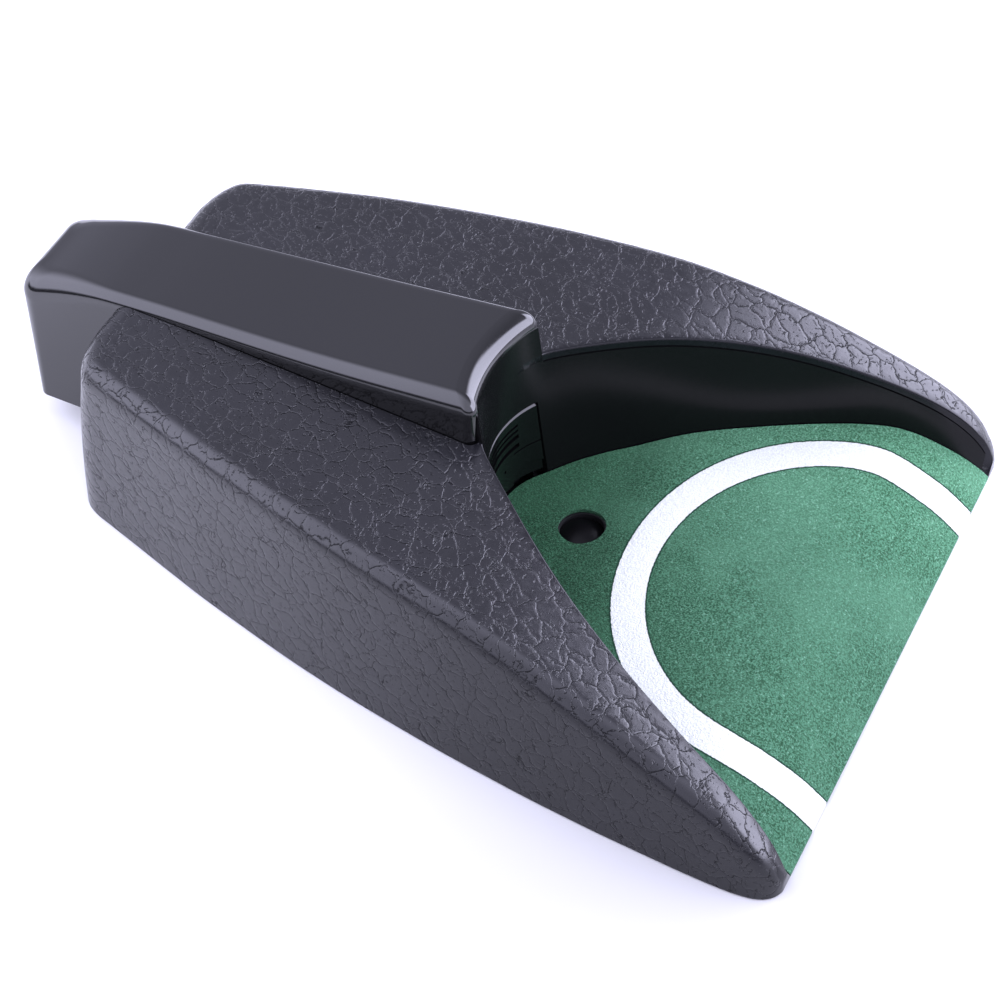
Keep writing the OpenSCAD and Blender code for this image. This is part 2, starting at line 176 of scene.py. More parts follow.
def finish_mesh(ob, angle=32, weld_mm=0.0008):
    bm = bmesh.new()
    bm.from_mesh(ob.data)
    bmesh.ops.remove_doubles(bm, verts=bm.verts, dist=weld_mm * 0.001)
    bm.verts.index_update()
    pairs, crumbs = {}, []                                # back-to-back slivers that the weld leaves behind
    for f in bm.faces:
        pairs.setdefault(tuple(sorted(v.index for v in f.verts)), []).append(f)
    for same in pairs.values():
        if len(same) == 2:
            crumbs += same
    if crumbs:
        bmesh.ops.delete(bm, geom=crumbs, context="FACES")
    lim = math.radians(angle)
    for e in bm.edges:
        e.smooth = not (len(e.link_faces) == 2 and e.calc_face_angle(0) > lim)
    for f in bm.faces:
        f.smooth = True
    bm.to_mesh(ob.data)
    bm.free()
    ob.data.update()
    m = ob.modifiers.new("w", "WEIGHTED_NORMAL")         # broad faces keep their own direction beside small rounds
    m.mode, m.keep_sharp, m.weight = "FACE_AREA", True, 50
    bpy.context.view_layer.update()
    me = bpy.data.meshes.new_from_object(ob.evaluated_get(bpy.context.evaluated_depsgraph_get()))
    ob.modifiers.remove(m)
    old, ob.data = ob.data, me
    bpy.data.meshes.remove(old)
    return ob


def soft(x, v, q, sig):
    """table v over x read at q through a gaussian window"""
    x = np.asarray(x, float)
    v = np.asarray(v, float).reshape(len(x), -1)
    q = np.atleast_1d(np.asarray(q, float))
    sig = np.broadcast_to(np.asarray(sig, float), q.shape)
    h = 0.2
    pad = 4 * float(sig.max())
    xs = np.arange(x[0] - pad, x[-1] + pad + h, h)

    def lin(t):
        return np.stack([np.interp(t, x, v[:, c]) for c in range(v.shape[1])], 1)
    F = lin(np.clip(xs, x[0], x[-1]))
    a, b = xs < x[0], xs > x[-1]
    F[a] = 2 * v[0] - lin(2 * x[0] - xs[a])
    F[b] = 2 * v[-1] - lin(2 * x[-1] - xs[b])
    W = np.exp(-0.5 * ((xs[None, :] - q[:, None]) / sig[:, None]) ** 2)
    W /= W.sum(1, keepdims=True)
    out = W @ F
    return out[:, 0] if v.shape[1] == 1 else out


def local_sig(x, q, k=0.55, lo=0.4, hi=9):
    return np.clip(k * np.interp(q, x, np.gradient(np.asarray(x, float))), lo, hi)


def sstep(a, b, t):
    t = np.clip((np.asarray(t, float) - a) / (b - a), 0, 1)
    return t * t * (3 - 2 * t)


# ------------------------------------------------------------------ outlines, mm
foot_x = [(0, 84.5), (1, 87.2), (4, 89.6), (9, 90.7), (18, 90.5), (26, 90.1), (35, 89.4),
          (44, 88.6), (53, 87.9), (62, 86.8), (71.5, 85.8), (81, 84.4), (90.5, 83),
          (100, 81.5), (110, 79.7), (120, 77.8), (130.5, 75.7), (141, 73.3), (152, 70.6),
          (163, 67.5), (174, 64.3), (186, 60.8), (198, 56.6), (210.4, 52.3), (223, 48),
          (226.5, 46.9), (229.5, 45.6), (232, 44), (234, 41.8), (235.6, 38.6), (236.6, 34.8),
          (237.2, 30)]
top_z = [(0, 5.5), (1, 8), (2, 10.2), (4, 13.4), (7, 17), (12, 21.3), (18, 25.2), (26, 29),
         (35, 32.8), (44, 36.4), (53, 39.8), (62, 42.9), (71.5, 45.8), (81, 48.4),
         (90.5, 50.7), (100, 52.4), (110, 53.5), (120, 54.3), (130.5, 55.2), (141, 55.9),
         (152, 56.6), (163, 57.2), (174, 57.7), (186, 58.2), (198, 58.5), (210.4, 58.6),
         (223, 58.6), (240, 58.6)]
lean_x = [(0, 2.5), (100, 3), (150, 2.5), (188, 1.4), (215, 0.5), (238, 0.3)]
spine_hw = [(100, 21.75), (119, 21.7), (150, 21.3), (168, 20.8), (190, 19.95), (210, 19), (228, 18.4),
            (246, 18.1), (267, 17.6)]
spine_z = [(100, 71), (119, 69.8), (130, 68.7), (150, 66.5), (168, 64.8), (190, 63.2), (210, 61.9), (228, 60.8),
           (238, 59.9), (246, 58.7), (252, 57.3), (256, 56.1), (259.5, 55), (262, 54.3), (267, 53.6)]
felt_z = [(0, 1.5), (4, 4.9), (8, 7.7), (12, 9.8), (16, 11.6), (22, 14.2), (28, 15.7),
          (34, 16), (45, 15.7), (60, 15.5), (74, 15.6), (81, 15.1), (88, 13.8), (94, 12.5),
          (100, 11.8), (130, 11.7)]
cup_b = [(1.5, 120.3), (5.5, 119.7), (9, 118.5), (12.3, 116.6), (15.4, 114.1), (17.8, 112.3),
         (20.6, 110.4), (24.2, 107.7), (28.6, 103.4), (32.8, 98.8), (40.4, 89.4), (46.8, 79.6),
         (52.8, 69.8), (58.8, 60), (64.4, 50), (69.2, 40), (73, 30), (75.6, 20), (77.2, 12),
         (78.4, 6), (79.5, 2), (79.9, 0), (79.9, -8)]
cup_t = [(1.7, 122.6), (6, 122.2), (10, 121.4), (14, 120.2), (17.5, 118.7), (20.2, 117.1),
         (23, 114.4), (26.8, 110.2), (31.1, 105.3), (35.5, 100.3), (43.8, 90.3), (51, 80.2),
         (57, 70.2), (62.3, 60.2), (66.9, 50), (70.7, 40), (74.4, 30), (77.3, 20), (79.8, 12),
         (81.3, 6), (82.4, 2), (82.7, 0), (82.7, -8)]
HOLE_Y = 95.3
FELT_T = 1.2


def tab(t, q, k=0.55, hi=9):
    t = np.asarray(t, float)
    q = np.atleast_1d(np.asarray(q, float))
    shape = q.shape
    q = q.ravel()
    u, inv = np.unique(np.round(q, 4), return_inverse=True)
    return soft(t[:, 0], t[:, 1], u, local_sig(t[:, 0], u, k, 0.4, hi))[inv].reshape(shape)


_ty = np.arange(-2, 245, 0.25)
_tz = tab(top_z, _ty)
_sy = np.arange(95, 275, 0.25)
_sz = tab(spine_z, _sy, 0.8, 12)
_sw = tab(spine_hw, _sy, 0.8, 12)
_fy = np.arange(-8, 131, 0.2)
_fz = tab(felt_z, _fy, 0.5)


def TZ(y): return np.interp(y, _ty, _tz)
def SZ(y): return np.interp(y, _sy, _sz)
def SW(y): return np.interp(y, _sy, _sw)
def FZ(y): return np.interp(y, _fy, _fz)


# both edges of the cup wall, from the middle out to the nose
def cup_curves():
    B, T = np.array(cup_b), np.array(cup_t)
    Bf = np.concatenate([B[::-1] * [-1, 1], B])
    Tf = np.concatenate([T[::-1] * [-1, 1], T])
    M = (Bf + Tf) / 2
    t = np.r_[0, np.cumsum(np.linalg.norm(np.diff(M, axis=0), axis=1))]
    mid = t[len(B) - 1] / 2 + t[len(B)] / 2
    L = t[-1] - mid
    q = []
    a = 0.0
    while a < L - 0.3:
        q.append(a)
        a += 0.5 if a < 22 else 0.7 if a < 45 else 1.1
    q.append(L)
    q = np.array(q) + mid
    sg = local_sig(t, q, 0.62, 0.9, 8)
    b, tt = soft(t, Bf, q, sg), soft(t, Tf, q, sg)
    b[0, 0] = tt[0, 0] = 0
    return b, tt


CB, CT = cup_curves()
CBz = FZ(np.maximum(0, CB[:, 1]))
CTz = TZ(np.clip(CT[:, 1], 0, 117))


def plan_normal(c):
    d = np.gradient(c, axis=0)
    d[0] = [1, 0]
    n = np.stack([-d[:, 1], d[:, 0]], 1)
    n /= np.linalg.norm(n, axis=1, keepdims=True)
    return n            # points away from the cup: (0, 1) in the middle


NB, NT = plan_normal(CB), plan_normal(CT)


def wall_lines(d, lo=-0.5, hi=0.6, n=14):
    b, t = CB + d * NB, CT + d * NT
    B = np.c_[b, CBz]
    T = np.c_[t, CTz]
    f = np.linspace(lo, 1 + hi, n)
    return B[:, None, :] + f[None, :, None] * (T - B)[:, None, :]


def cup_solid(name, d, lo=-0.5, hi=0.6, n=14):
    R = wall_lines(d, lo, hi, n)
    R[0, :, 0] = 0
    L = R * [-1, 1, 1]
    top = np.stack([L[:, -1], R[:, -1]], 1)
    bot = np.stack([L[:, 0], R[:, 0]], 1)
    cap = np.stack([L[-1], R[-1]], 1)
    return grids(name, [R, L, top, bot, cap])


# ------------------------------------------------------------------ wings
def wing_stations(y0):
    P = np.array([(x, y) for y, x in foot_x])
    s = np.r_[0, np.cumsum(np.linalg.norm(np.diff(P, axis=0), axis=1))]
    q = []
    a = 0.0
    while a < s[-1] - 0.3:
        q.append(a)
        a += float(np.clip(0.3 * np.interp(a, s, np.gradient(s)), 0.5, 1.8))
    q.append(s[-1])
    q = np.array(q)
    O = soft(s, P, q, local_sig(s, q, 0.5, 0.6, 7))
    O[0] = P[0]; O[-1] = P[-1]
    d = np.gradient(O, axis=0)
    N = np.stack([d[:, 1], -d[:, 0]], 1)
    N /= np.linalg.norm(N, axis=1, keepdims=True)
    if y0 > 0:
        x0 = np.interp(y0, O[:, 1], O[:, 0])
        k = O[:, 1] > y0 + 0.05
        n0 = N[np.argmax(k)]
        O, N = np.r_[[[x0, y0]], O[k]], np.r_[[n0], N[k]]
    return O, N


def wing_solid(name, d, z0, y0, ridge=6.0, nw=14, nf=11, nt=60):
    O, N = wing_stations(y0)
    w = sstep(150, 212, O[:, 1])                      # sides move square to the centre line, the back corner along its own normal
    D = (1 - w)[:, None] * np.array([1.0, 0]) + w[:, None] * N
    D /= np.linalg.norm(D, axis=1, keepdims=True)
    O = O - d * D
    wy = sstep(223, 236.5, O[:, 1] + d * D[:, 1])
    lx, ly = np.interp(O[:, 1], *zip(*lean_x)), 3.7 * wy
    z1 = TZ(O[:, 1]) - d
    h = z1 - z0
    lx = np.minimum(lx, h * 0.06)
    r = np.clip(np.minimum(ridge - d, h * 0.5), 0.6, None)
    prof = []
    for f in np.linspace(0, 1, nw):
        p = O - np.stack([lx * f, ly * f ** 2.2], 1)
        prof.append(np.c_[p, z0 + f * (TZ(p[:, 1]) - d - r - z0)])
    base = O - np.stack([lx, ly], 1)
    for a in np.linspace(0, math.pi / 2, nf + 1)[1:]:
        p = base - D * (r * (1 - math.cos(a)))[:, None]
        prof.append(np.c_[p, TZ(p[:, 1]) - d - r * (1 - math.sin(a))])
    R = np.stack(prof, 1)                              # station, level, xyz
    L = R * [-1, 1, 1]
    u = np.linspace(-1, 1, nt)

    def rows(right):                                   # rows across, from left to right
        x = right[:, None, 0] * u[None, :]
        return np.stack([x, np.repeat(right[:, None, 1], nt, 1), np.repeat(right[:, None, 2], nt, 1)], 2)
    top, bot = rows(R[:, -1]), rows(R[:, 0])
    return grids(name, [R, L, top, bot, rows(R[0]), rows(R[-1])])


# ------------------------------------------------------------------ spine
RIM_Z = 65.0


def front_curve():
    k = ((RIM_Z - CTz) / (CTz - CBz))[:, None]
    c = CT + k * (CT - CB)
    n = c[:, 0] < 24
    return c[n]


def spine_outline(d=0.0, front=-0.5, rc=3.0, rr=6.0, back=267.0):
    """right half of the plan outline and of the flat top's border, matched point by point"""
    F = front_curve() + [0, front]
    hx = SW(119.0) - d
    F = F + np.array([0, d])
    cx = hx - rc
    cy = 130.0
    while np.min(np.hypot(F[:, 0] - cx, F[:, 1] - cy)) > rc and cy > 100:
        cy -= 0.02
    k = int(np.argmin(np.hypot(F[:, 0] - cx, F[:, 1] - cy)))
    a0 = math.atan2(F[k, 1] - cy, F[k, 0] - cx)
    NF, NC, NS, NR = 22, 14, 130, 24
    r_f = 6.6
    # outer
    xs = np.linspace(0, F[k, 0], NF)
    O = [np.c_[xs, np.interp(xs, F[:, 0], F[:, 1])]]
    a = np.linspace(a0, 0, NC + 1)[1:]
    O.append(np.c_[cx + rc * np.cos(a), cy + rc * np.sin(a)])
    ry = back - d - rr
    ys = np.linspace(cy, ry, NS + 1)[1:]
    O.append(np.c_[SW(ys) - d, ys])
    rx = SW(ry) - d - rr
    b = np.linspace(0, math.pi / 2, NC + 1)[1:]
    O.append(np.c_[rx + rr * np.cos(b), ry + rr * np.sin(b)])
    xr = np.linspace(rx, 0, NR)[1:]
    O.append(np.c_[xr, np.full(len(xr), back - d)])
    O = np.concatenate(O)
    # inner
    def rside(y): return 4.8 - 0.8 * sstep(125, 215, y) + 3.6 * sstep(232, 258, y)
    def rvert(y): return 5.8 - 1.8 * sstep(125, 215, y) + 3.6 * sstep(232, 258, y)
    xf = np.linspace(0, 24, 240)
    G = np.c_[xf, np.interp(xf, F[:, 0], F[:, 1])]
    fn = np.gradient(G, axis=0)
    fn = np.stack([-fn[:, 1], fn[:, 0]], 1)
    fn /= np.linalg.norm(fn, axis=1, keepdims=True)
    fn[0] = (0, 1)
    G = G + r_f * fn
    G = G[np.maximum.accumulate(G[:, 0]) <= G[:, 0]]
    qx = float(SW(126.0) - d - rside(126.0))
    qy = float(np.interp(qx, G[:, 0], G[:, 1]))
    xg = np.linspace(0, qx - 0.5, NF)
    I = [np.c_[xg, np.interp(xg, G[:, 0], G[:, 1])]]
    q0, q1, q2 = I[0][-1], np.array([qx, qy]), np.array([float(SW(qy + 0.5) - d - rside(qy + 0.5)), qy + 0.5])
    t = np.linspace(0, 1, NC + 1)[1:, None]
    I.append((1 - t) ** 2 * q0 + 2 * t * (1 - t) * q1 + t ** 2 * q2)
    r_b, ci = 5.2, 6.4
    iy = back - d - r_b - ci
    ys2 = np.linspace(qy + 0.5, iy, NS + 1)[1:]
    I.append(np.c_[SW(ys2) - d - rside(ys2), ys2])
    ix = SW(iy) - d - rside(iy) - ci
    I.append(np.c_[ix + ci * np.cos(b), iy + ci * np.sin(b)])
    xi = np.linspace(ix, 0, NR)[1:]
    I.append(np.c_[xi, np.full(len(xi), back - d - r_b)])
    I = np.concatenate(I)
    tag_rear = np.zeros(len(O))
    m = NF + NC + NS
    tag_rear[m:m + NC] = np.sin(b) ** 1.0
    tag_rear[m + NC:] = 1
    rv = np.concatenate([np.full(NF, 5.4), np.linspace(5.4, 5.8, NC), rvert(ys), np.zeros(NC), np.zeros(len(xr))])
    rv[m:m + NC] = rv[m - 1] + (6.8 - rv[m - 1]) * sstep(0, 1, np.arange(1, NC + 1) / NC)
    rv[m + NC:] = 6.8
    return O, I, rv, tag_rear, (NF, NC, NS, NR)


def coons(front, right, rear, left):
    """patch between four borders: front and rear run left to right, left and right run front to rear"""
    nu, nv = len(front), len(right)
    u = np.linspace(0, 1, nu)[None, :, None]
    v = np.linspace(0, 1, nv)[:, None, None]
    return ((1 - v) * front[None] + v * rear[None] + (1 - u) * left[:, None] + u * right[:, None]
            - (1 - u) * (1 - v) * front[0] - u * (1 - v) * front[-1] - (1 - u) * v * rear[0] - u * v * rear[-1])


def spine_solid(name, d=0.0, front=-0.5, rc=3.0, z0=4.0, nw=12, nf=12, cap_top=None, rr=6.0):
    O, I, rv, rear, (NF, NC, NS, NR) = spine_outline(d, front, rc, rr)
    prof = []
    ztop_o = SZ(np.minimum(O[:, 1], 262)) - d
    zw = ztop_o - rv
    lean = 2.2 * rear
    for f in np.linspace(0, 1, nw):
        z = z0 + f * (zw - z0)
        p = O.copy()
        p[:, 1] -= lean * np.clip((47 - z) / 43, 0, 1)
        prof.append(np.c_[p, z])
    for a in np.linspace(0, math.pi / 2, nf + 1)[1:]:
        p = O + (1 - math.cos(a)) * (I - O)
        prof.append(np.c_[p, SZ(np.minimum(p[:, 1], 262)) - d - rv * (1 - math.sin(a))])
    R = np.stack(prof, 1)
    R[0, :, 0] = 0
    R[-1, :, 0] = 0
    L = R * [-1, 1, 1]
    h1, h2 = NF + NC // 2, NF + NC + NS + NC // 2       # the patch's corners, half way round each corner arc

    def lid(k):
        r, l = R[:, k], L[:, k]
        fr = np.concatenate([l[:h1 + 1][::-1], r[1:h1 + 1]])
        re = np.concatenate([l[h2:], r[h2:-1][::-1]])
        g = coons(fr, r[h1:h2 + 1], re, l[h1:h2 + 1])
        g2 = g.copy()
        if k == R.shape[1] - 1:
            g2[1:-1, 1:-1, 2] = SZ(np.minimum(g[1:-1, 1:-1, 1], 262)) - d
        return g2
    return grids(name, [R, L, lid(R.shape[1] - 1), lid(0)])


# ------------------------------------------------------------------ soft edge along the cup's upper border
def lip_cutter(name, r0, drop_mm=0.0, y_to=125.0, ext=1.2, x_from=0.0, n_arc=8):
    """cuts a round of radius r0 where the wing's top meets the cup wall"""
    k = (CT[:, 0] >= x_from) & (CT[:, 1] <= y_to) & (CT[:, 1] > -6)
    B, T = np.c_[CB, CBz][k], np.c_[CT, TZ(CT[:, 1])][k]
    W = B - T
    W /= np.linalg.norm(W, axis=1, keepdims=True)
    m = (TZ(T[:, 1] + 0.5) - TZ(T[:, 1] - 0.5))
    Nn = np.stack([0 * m, -m, np.ones_like(m)], 1)
    Nn /= np.linalg.norm(Nn, axis=1, keepdims=True)
    t = np.gradient(T, axis=0)
    t /= np.linalg.norm(t, axis=1, keepdims=True)
    e1 = np.cross(Nn, t)
    e1 /= np.linalg.norm(e1, axis=1, keepdims=True)
    sgn = np.sign((e1[:, :2] * NT[k]).sum(1))
    e1 *= sgn[:, None]
    E = T + W * (drop_mm / np.abs((W * Nn).sum(1)))[:, None]
    r = r0 * (0.42 + 0.58 * sstep(0, 12, T[:, 1]))
    r = r[:, None]
    C = E + e1 * r + W * r
    prof = [E + e1 * (r + 0.08) + Nn * 0.03]
    for a in np.linspace(0.04, math.pi / 2 - 0.04, n_arc):
        prof.append(C - r * (W * math.cos(a) + e1 * math.sin(a)))
    prof.append(E + W * (r + 0.08) - e1 * 0.03)
    prof.append(E + W * (r + 0.08) - e1 * ext)
    prof.append(E - e1 * ext + Nn * ext)
    prof.append(E + e1 * (r + 0.08) + Nn * ext)
    R = np.stack(prof, 1)
    right = rings(name, R)
    left = rings(name + "l", R * [-1, 1, 1])
    return right, left


bosses = [(78, 50), (74, 96), (62, 146), (42, 204)]

# housing shell
shell = wing_solid("housing_shell_skin", 0, 0.5, 0)
boolean(shell, wing_solid("c", 2.2, -2, 16, nw=8, nf=6, nt=24))
post = None
for bx, by in bosses:
    for sx in (-1, 1):
        p = cyl("p", (sx * bx, by, 5.2), 2, 3.6, 70, 40)
        post = p if post is None else boolean(post, p, "UNION")
boolean(post, wing_solid("c", 0.8, 3, 16, nw=6, nf=5, nt=20), "INTERSECT")
boolean(shell, post, "UNION")
for bx, by in bosses:
    for sx in (-1, 1):
        boolean(shell, cyl("p", (sx * bx, by, 5), 2, 1.5, 14, 32))
boolean(shell, cup_solid("c", 0))
slot = spine_solid("slot", -0.25, front=-0.75, nw=5, nf=4)
zone = prism_x("zone", 60, [(100, 70), (100, 40), (231, 40), (231, 9), (241, 9), (241, 70)])
boolean(slot, zone, "INTERSECT")
boolean(shell, slot)
pocket = cup_solid("pocket", 2.05)
boolean(pocket, wing_solid("c", 2.4, -3, 2.38, nw=8, nf=6, nt=24), "INTERSECT")
boolean(shell, pocket)
for c in lip_cutter("lip", 0.45, n_arc=6):
    boolean(shell, c)
finish_mesh(shell)

# glossy cup wall
WALL_Z = 64.2         # top of the wall under the spine's rolled front edge


def wall_chamfer(w=0.5, half=19.6, z=WALL_Z, d=0.0):
    """cuts a fine bevel along a level edge of the wall"""
    k = ((z - CTz) / (CTz - CBz))[:, None]
    c = CT + k * (CT - CB) + d * NT
    m = c[:, 0] < half
    P = np.c_[c[m], np.full(m.sum(), z)]
    N3 = np.c_[NT[m], np.zeros(m.sum())]
    Z = np.array([0, 0, 1.0])
    R = np.stack([P + N3 * (w + 0.03) + Z * 0.03, P - Z * (w + 0.03) - N3 * 0.03, P - Z * w - N3 * 0.9, P + Z * 0.8 - N3 * 0.9,
                  P + N3 * w + Z * 0.8], 1)
    R[0, :, 0] = -0.02
    L = R * [-1, 1, 1]
    return rings("wc", R), rings("wcl", L)


liner = cup_solid("cup_liner_wall", 1.8)
boolean(liner, cup_solid("c", 0))
keep = wing_solid("keep", 2.42, 3.3, 2.4, nw=8, nf=6, nt=24)
boolean(keep, box3("kb", -19.3, 19.3, 100, 135, 30, WALL_Z), "UNION")
boolean(liner, keep, "INTERSECT")
boolean(liner, box3("win", -16.3, 16.3, 105, 130, -1, 38.3))
boolean(liner, box3("win2", -21.2, 21.2, 105, 130, -1, 10.2))
for c in wall_chamfer():
    boolean(liner, c)
step = cup_solid("step", 0.4)                        # fine ledge along the wall's upper border
boolean(step, wing_solid("k2", 2.82, 3.3, 2.4, nw=8, nf=6, nt=24))
boolean(step, box3("sb", -19.4, 19.4, 90, 135, -30, 110))
boolean(step, box3("sf", -120, 120, -20, 2.6, -30, 110))
boolean(liner, step)
finish_mesh(liner)

# glossy spine with its tail
spine = spine_solid("spine_cover_skin")
boolean(spine, spine_solid("c", 2.2, front=0.2, rc=4.0, z0=3, rr=5.2, nw=8, nf=8))
under = prism_x("under", 60, [(90, -5)] + [(90, 52.5 - 1.4)] + [(y, float(TZ(y)) - 1.4) for y in range(100, 231, 4)]
                + [(231.6, 57.1), (231.6, 9.5), (275, 9.5), (275, -5)])
boolean(spine, under)
low = cup_solid("low", 2.6)
boolean(low, box3("lb", -19.5, 19.5, 100, 135, 30, WALL_Z + 0.25), "INTERSECT")
boolean(spine, low)
finish_mesh(spine)


# ------------------------------------------------------------------ felt
def felt_sheet():
    """felt cut to the cup's outline, with its hole; thickness 1.2"""
    ed = CB - 0.4 * NB
    ed = ed[(ed[:, 1] >= -0.01)]
    order = np.argsort(ed[:, 1])
    ey, ex = ed[order, 1], np.maximum(ed[order, 0], 0)
    ymax = ey[-1]
    ys = np.unique(np.concatenate([np.arange(0, 112, 1.3), 112 + (ymax - 112) * (1 - (1 - np.linspace(0, 1, 18)) ** 2)]))
    ys[-1] = ymax - 0.02
    u = np.linspace(-1, 1, 111)
    xb = np.interp(ys, ey, ex)
    rng = np.random.RandomState(4)
    def layer(dz, inset=0.0):
        X = (xb - inset)[:, None] * u[None, :]
        Y = np.repeat(ys[:, None], len(u), 1)
        Z = FZ(Y) + dz
        return np.stack([X, Y, Z], 2)
    top, bot = layer(0), layer(-FELT_T + 0.02)
    mid = (top + bot) / 2
    side = lambda k: np.stack([bot[:, k], mid[:, k], top[:, k]], 1)
    end = lambda k: np.stack([bot[k], mid[k], top[k]], 1)
    ob = grids("felt_ramp", [top, bot, side(0), side(-1), end(0), end(-1)])
    boolean(ob, cyl("h", (0, HOLE_Y, 0), 2, 6.85, 30, 72))
    return finish_mesh(ob, 40)


felt = felt_sheet()


# ------------------------------------------------------------------ kicker
def sector(name, r_in, r_out, hw, z0, z1, rnd=0.0, n=60, yc=98.4):
    """upright curved slab between two radii, |x| up to hw"""
    xs = np.linspace(-hw, hw, n)
    R = []
    for i, x in enumerate(xs):
        yi, yo = yc + math.sqrt(r_in ** 2 - x * x), yc + math.sqrt(r_out ** 2 - x * x)
        if rnd > 0:
            e = rnd if i not in (0, n - 1) else rnd
            sh = 0.0
            if i == 0 or i == n - 1:
                sh = rnd * 0.6
            ring = []
            for cy_, cz_, a0 in ((yi + e, z0 + e, 180), (yo - e, z0 + e, 270), (yo - e, z1 - e, 0), (yi + e, z1 - e, 90)):
                for a in (0, 22.5, 45, 67.5, 90):
                    t = math.radians(a0 + a)
                    ring.append((x, cy_ + (e - sh) * math.cos(t), cz_ + (e - sh) * math.sin(t)))
        else:
            ring = [(x, yi, z0), (x, yo, z0), (x, yo, z1), (x, yi, z1)]
        R.append(ring)
    return rings(name, R)


def wall_slab(name, d0, d1, x0, x1, z0, z1):
    """slab that follows the cup wall between two depths"""
    a = cup_solid(name, d1)
    boolean(a, cup_solid("c", d0))
    return boolean(a, box3("b", x0, x1, 100, 135, z0, z1), "INTERSECT")


KD = 0.12
kick = wall_slab("kicker_face", KD, KD + 2.1, -15.85, 15.85, 13.0, 37.7)
boolean(kick, wall_slab("toe", KD + 0.05, KD + 2.0, -9.0, 9.0, 12.3, 14.0), "UNION")
for s in (-1, 1):
    x0, x1 = sorted((s * 14.0, s * 15.6))
    arm = rings("arm", [[(x, p[0], p[1]) for p in [(116.6, 24), (118.2, 24), (119.2, 12.8), (118.6, 9), (117.4, 5.5),
                                                   (113.5, 8.5), (116.0, 9.6), (117.0, 10.6), (117.2, 14)]] for x in (x0, x1)])
    boolean(arm, cup_solid("c", KD + 0.6))
    boolean(kick, arm, "UNION")
    boolean(kick, cyl("hub", (x0, 115, 6.5), 0, 2.9, x1 - x0, 48), "UNION")
boolean(kick, cyl("bore", (-25, 115, 6.5), 0, 1.55, 50, 40))
for c in wall_chamfer(0.55, 19.0, 37.7, KD):
    boolean(kick, c)
for za, zb, dep in ((33.5, 34.4, 1.1), (31.7, 32.5, 1.1), (29.2, 30.6, 1.1), (25.8, 27.3, 1.3)):
    boolean(kick, wall_slab("g", -1.0, KD + dep, -9.3, 9.3, za, zb))
for s in (-1, 1):
    x0, x1 = sorted((s * 7.0, s * 16.2))
    boolean(kick, wall_slab("cr", -1.0, KD + 0.4, x0, x1, 24.0, 24.45))
    a = cyl("arch", (s * 12, 104, 12.0), 1, 6.0, 24, 64)
    boolean(a, cup_solid("c", KD + 0.55), "INTERSECT")
    boolean(kick, a)
boolean(kick, cyl("pip", (2.7, 116, 20.6), 1, 0.5, 5.0, 20))
finish_mesh(kick, 30)


# ------------------------------------------------------------------ domed trigger
def lathe(name, prof, centre, n=72):
    a = np.arange(n) * 2 * math.pi / n
    R = []
    for r, z in prof:
        R.append(np.stack([centre[0] + r * np.cos(a), centre[1] + r * np.sin(a), np.full(n, centre[2] + z)], 1))
    return rings(name, R)


dome = []
for t in np.linspace(0, 1, 14):
    dome.append((0.05 + 5.75 * t, 11.22 - 1.35 * t ** 2))
prof = [(0.05, 9.4)] + [(2.0, 9.4), (2.0, 7.02), (2.05, 7.02)][:0]
cap_prof = ([(0.02, 7.02), (1.85, 7.02), (2.0, 7.2), (2.0, 9.0), (5.3, 9.0), (5.3, 8.1), (6.05, 8.0), (6.2, 8.15), (6.2, 9.55), (6.05, 9.75)]
            + [(r, z) for r, z in dome[::-1]])
trig = lathe("trigger_dome", cap_prof, (0, HOLE_Y, 0))
finish_mesh(trig, 35)


# ------------------------------------------------------------------ coil spring under the trigger
def coil(name, c, radius, wire, turns, z0, z1, n=36, m=12):
    """coil spring with flat end turns, standing along z"""
    t = np.linspace(0, 1, turns * n + 1)
    ang = 2 * math.pi * turns * t
    z = z0 + wire + (z1 - z0 - 2 * wire) * np.clip((t - 0.11) / 0.78, 0, 1)
    P = np.c_[c[0] + radius * np.cos(ang), c[1] + radius * np.sin(ang), z]
    T = np.gradient(P, axis=0)
    T /= np.linalg.norm(T, axis=1, keepdims=True)
    E = np.c_[np.cos(ang), np.sin(ang), 0 * ang]
    B = np.cross(T, E)
    a = np.arange(m) * 2 * math.pi / m
    R = P[:, None] + wire * (np.cos(a)[None, :, None] * E[:, None] + np.sin(a)[None, :, None] * B[:, None])
    return finish_mesh(rings(name, R), 50)


spring = coil("trigger_coil", (0, HOLE_Y), 4.7, 0.4, 4, 3.36, 8.94)


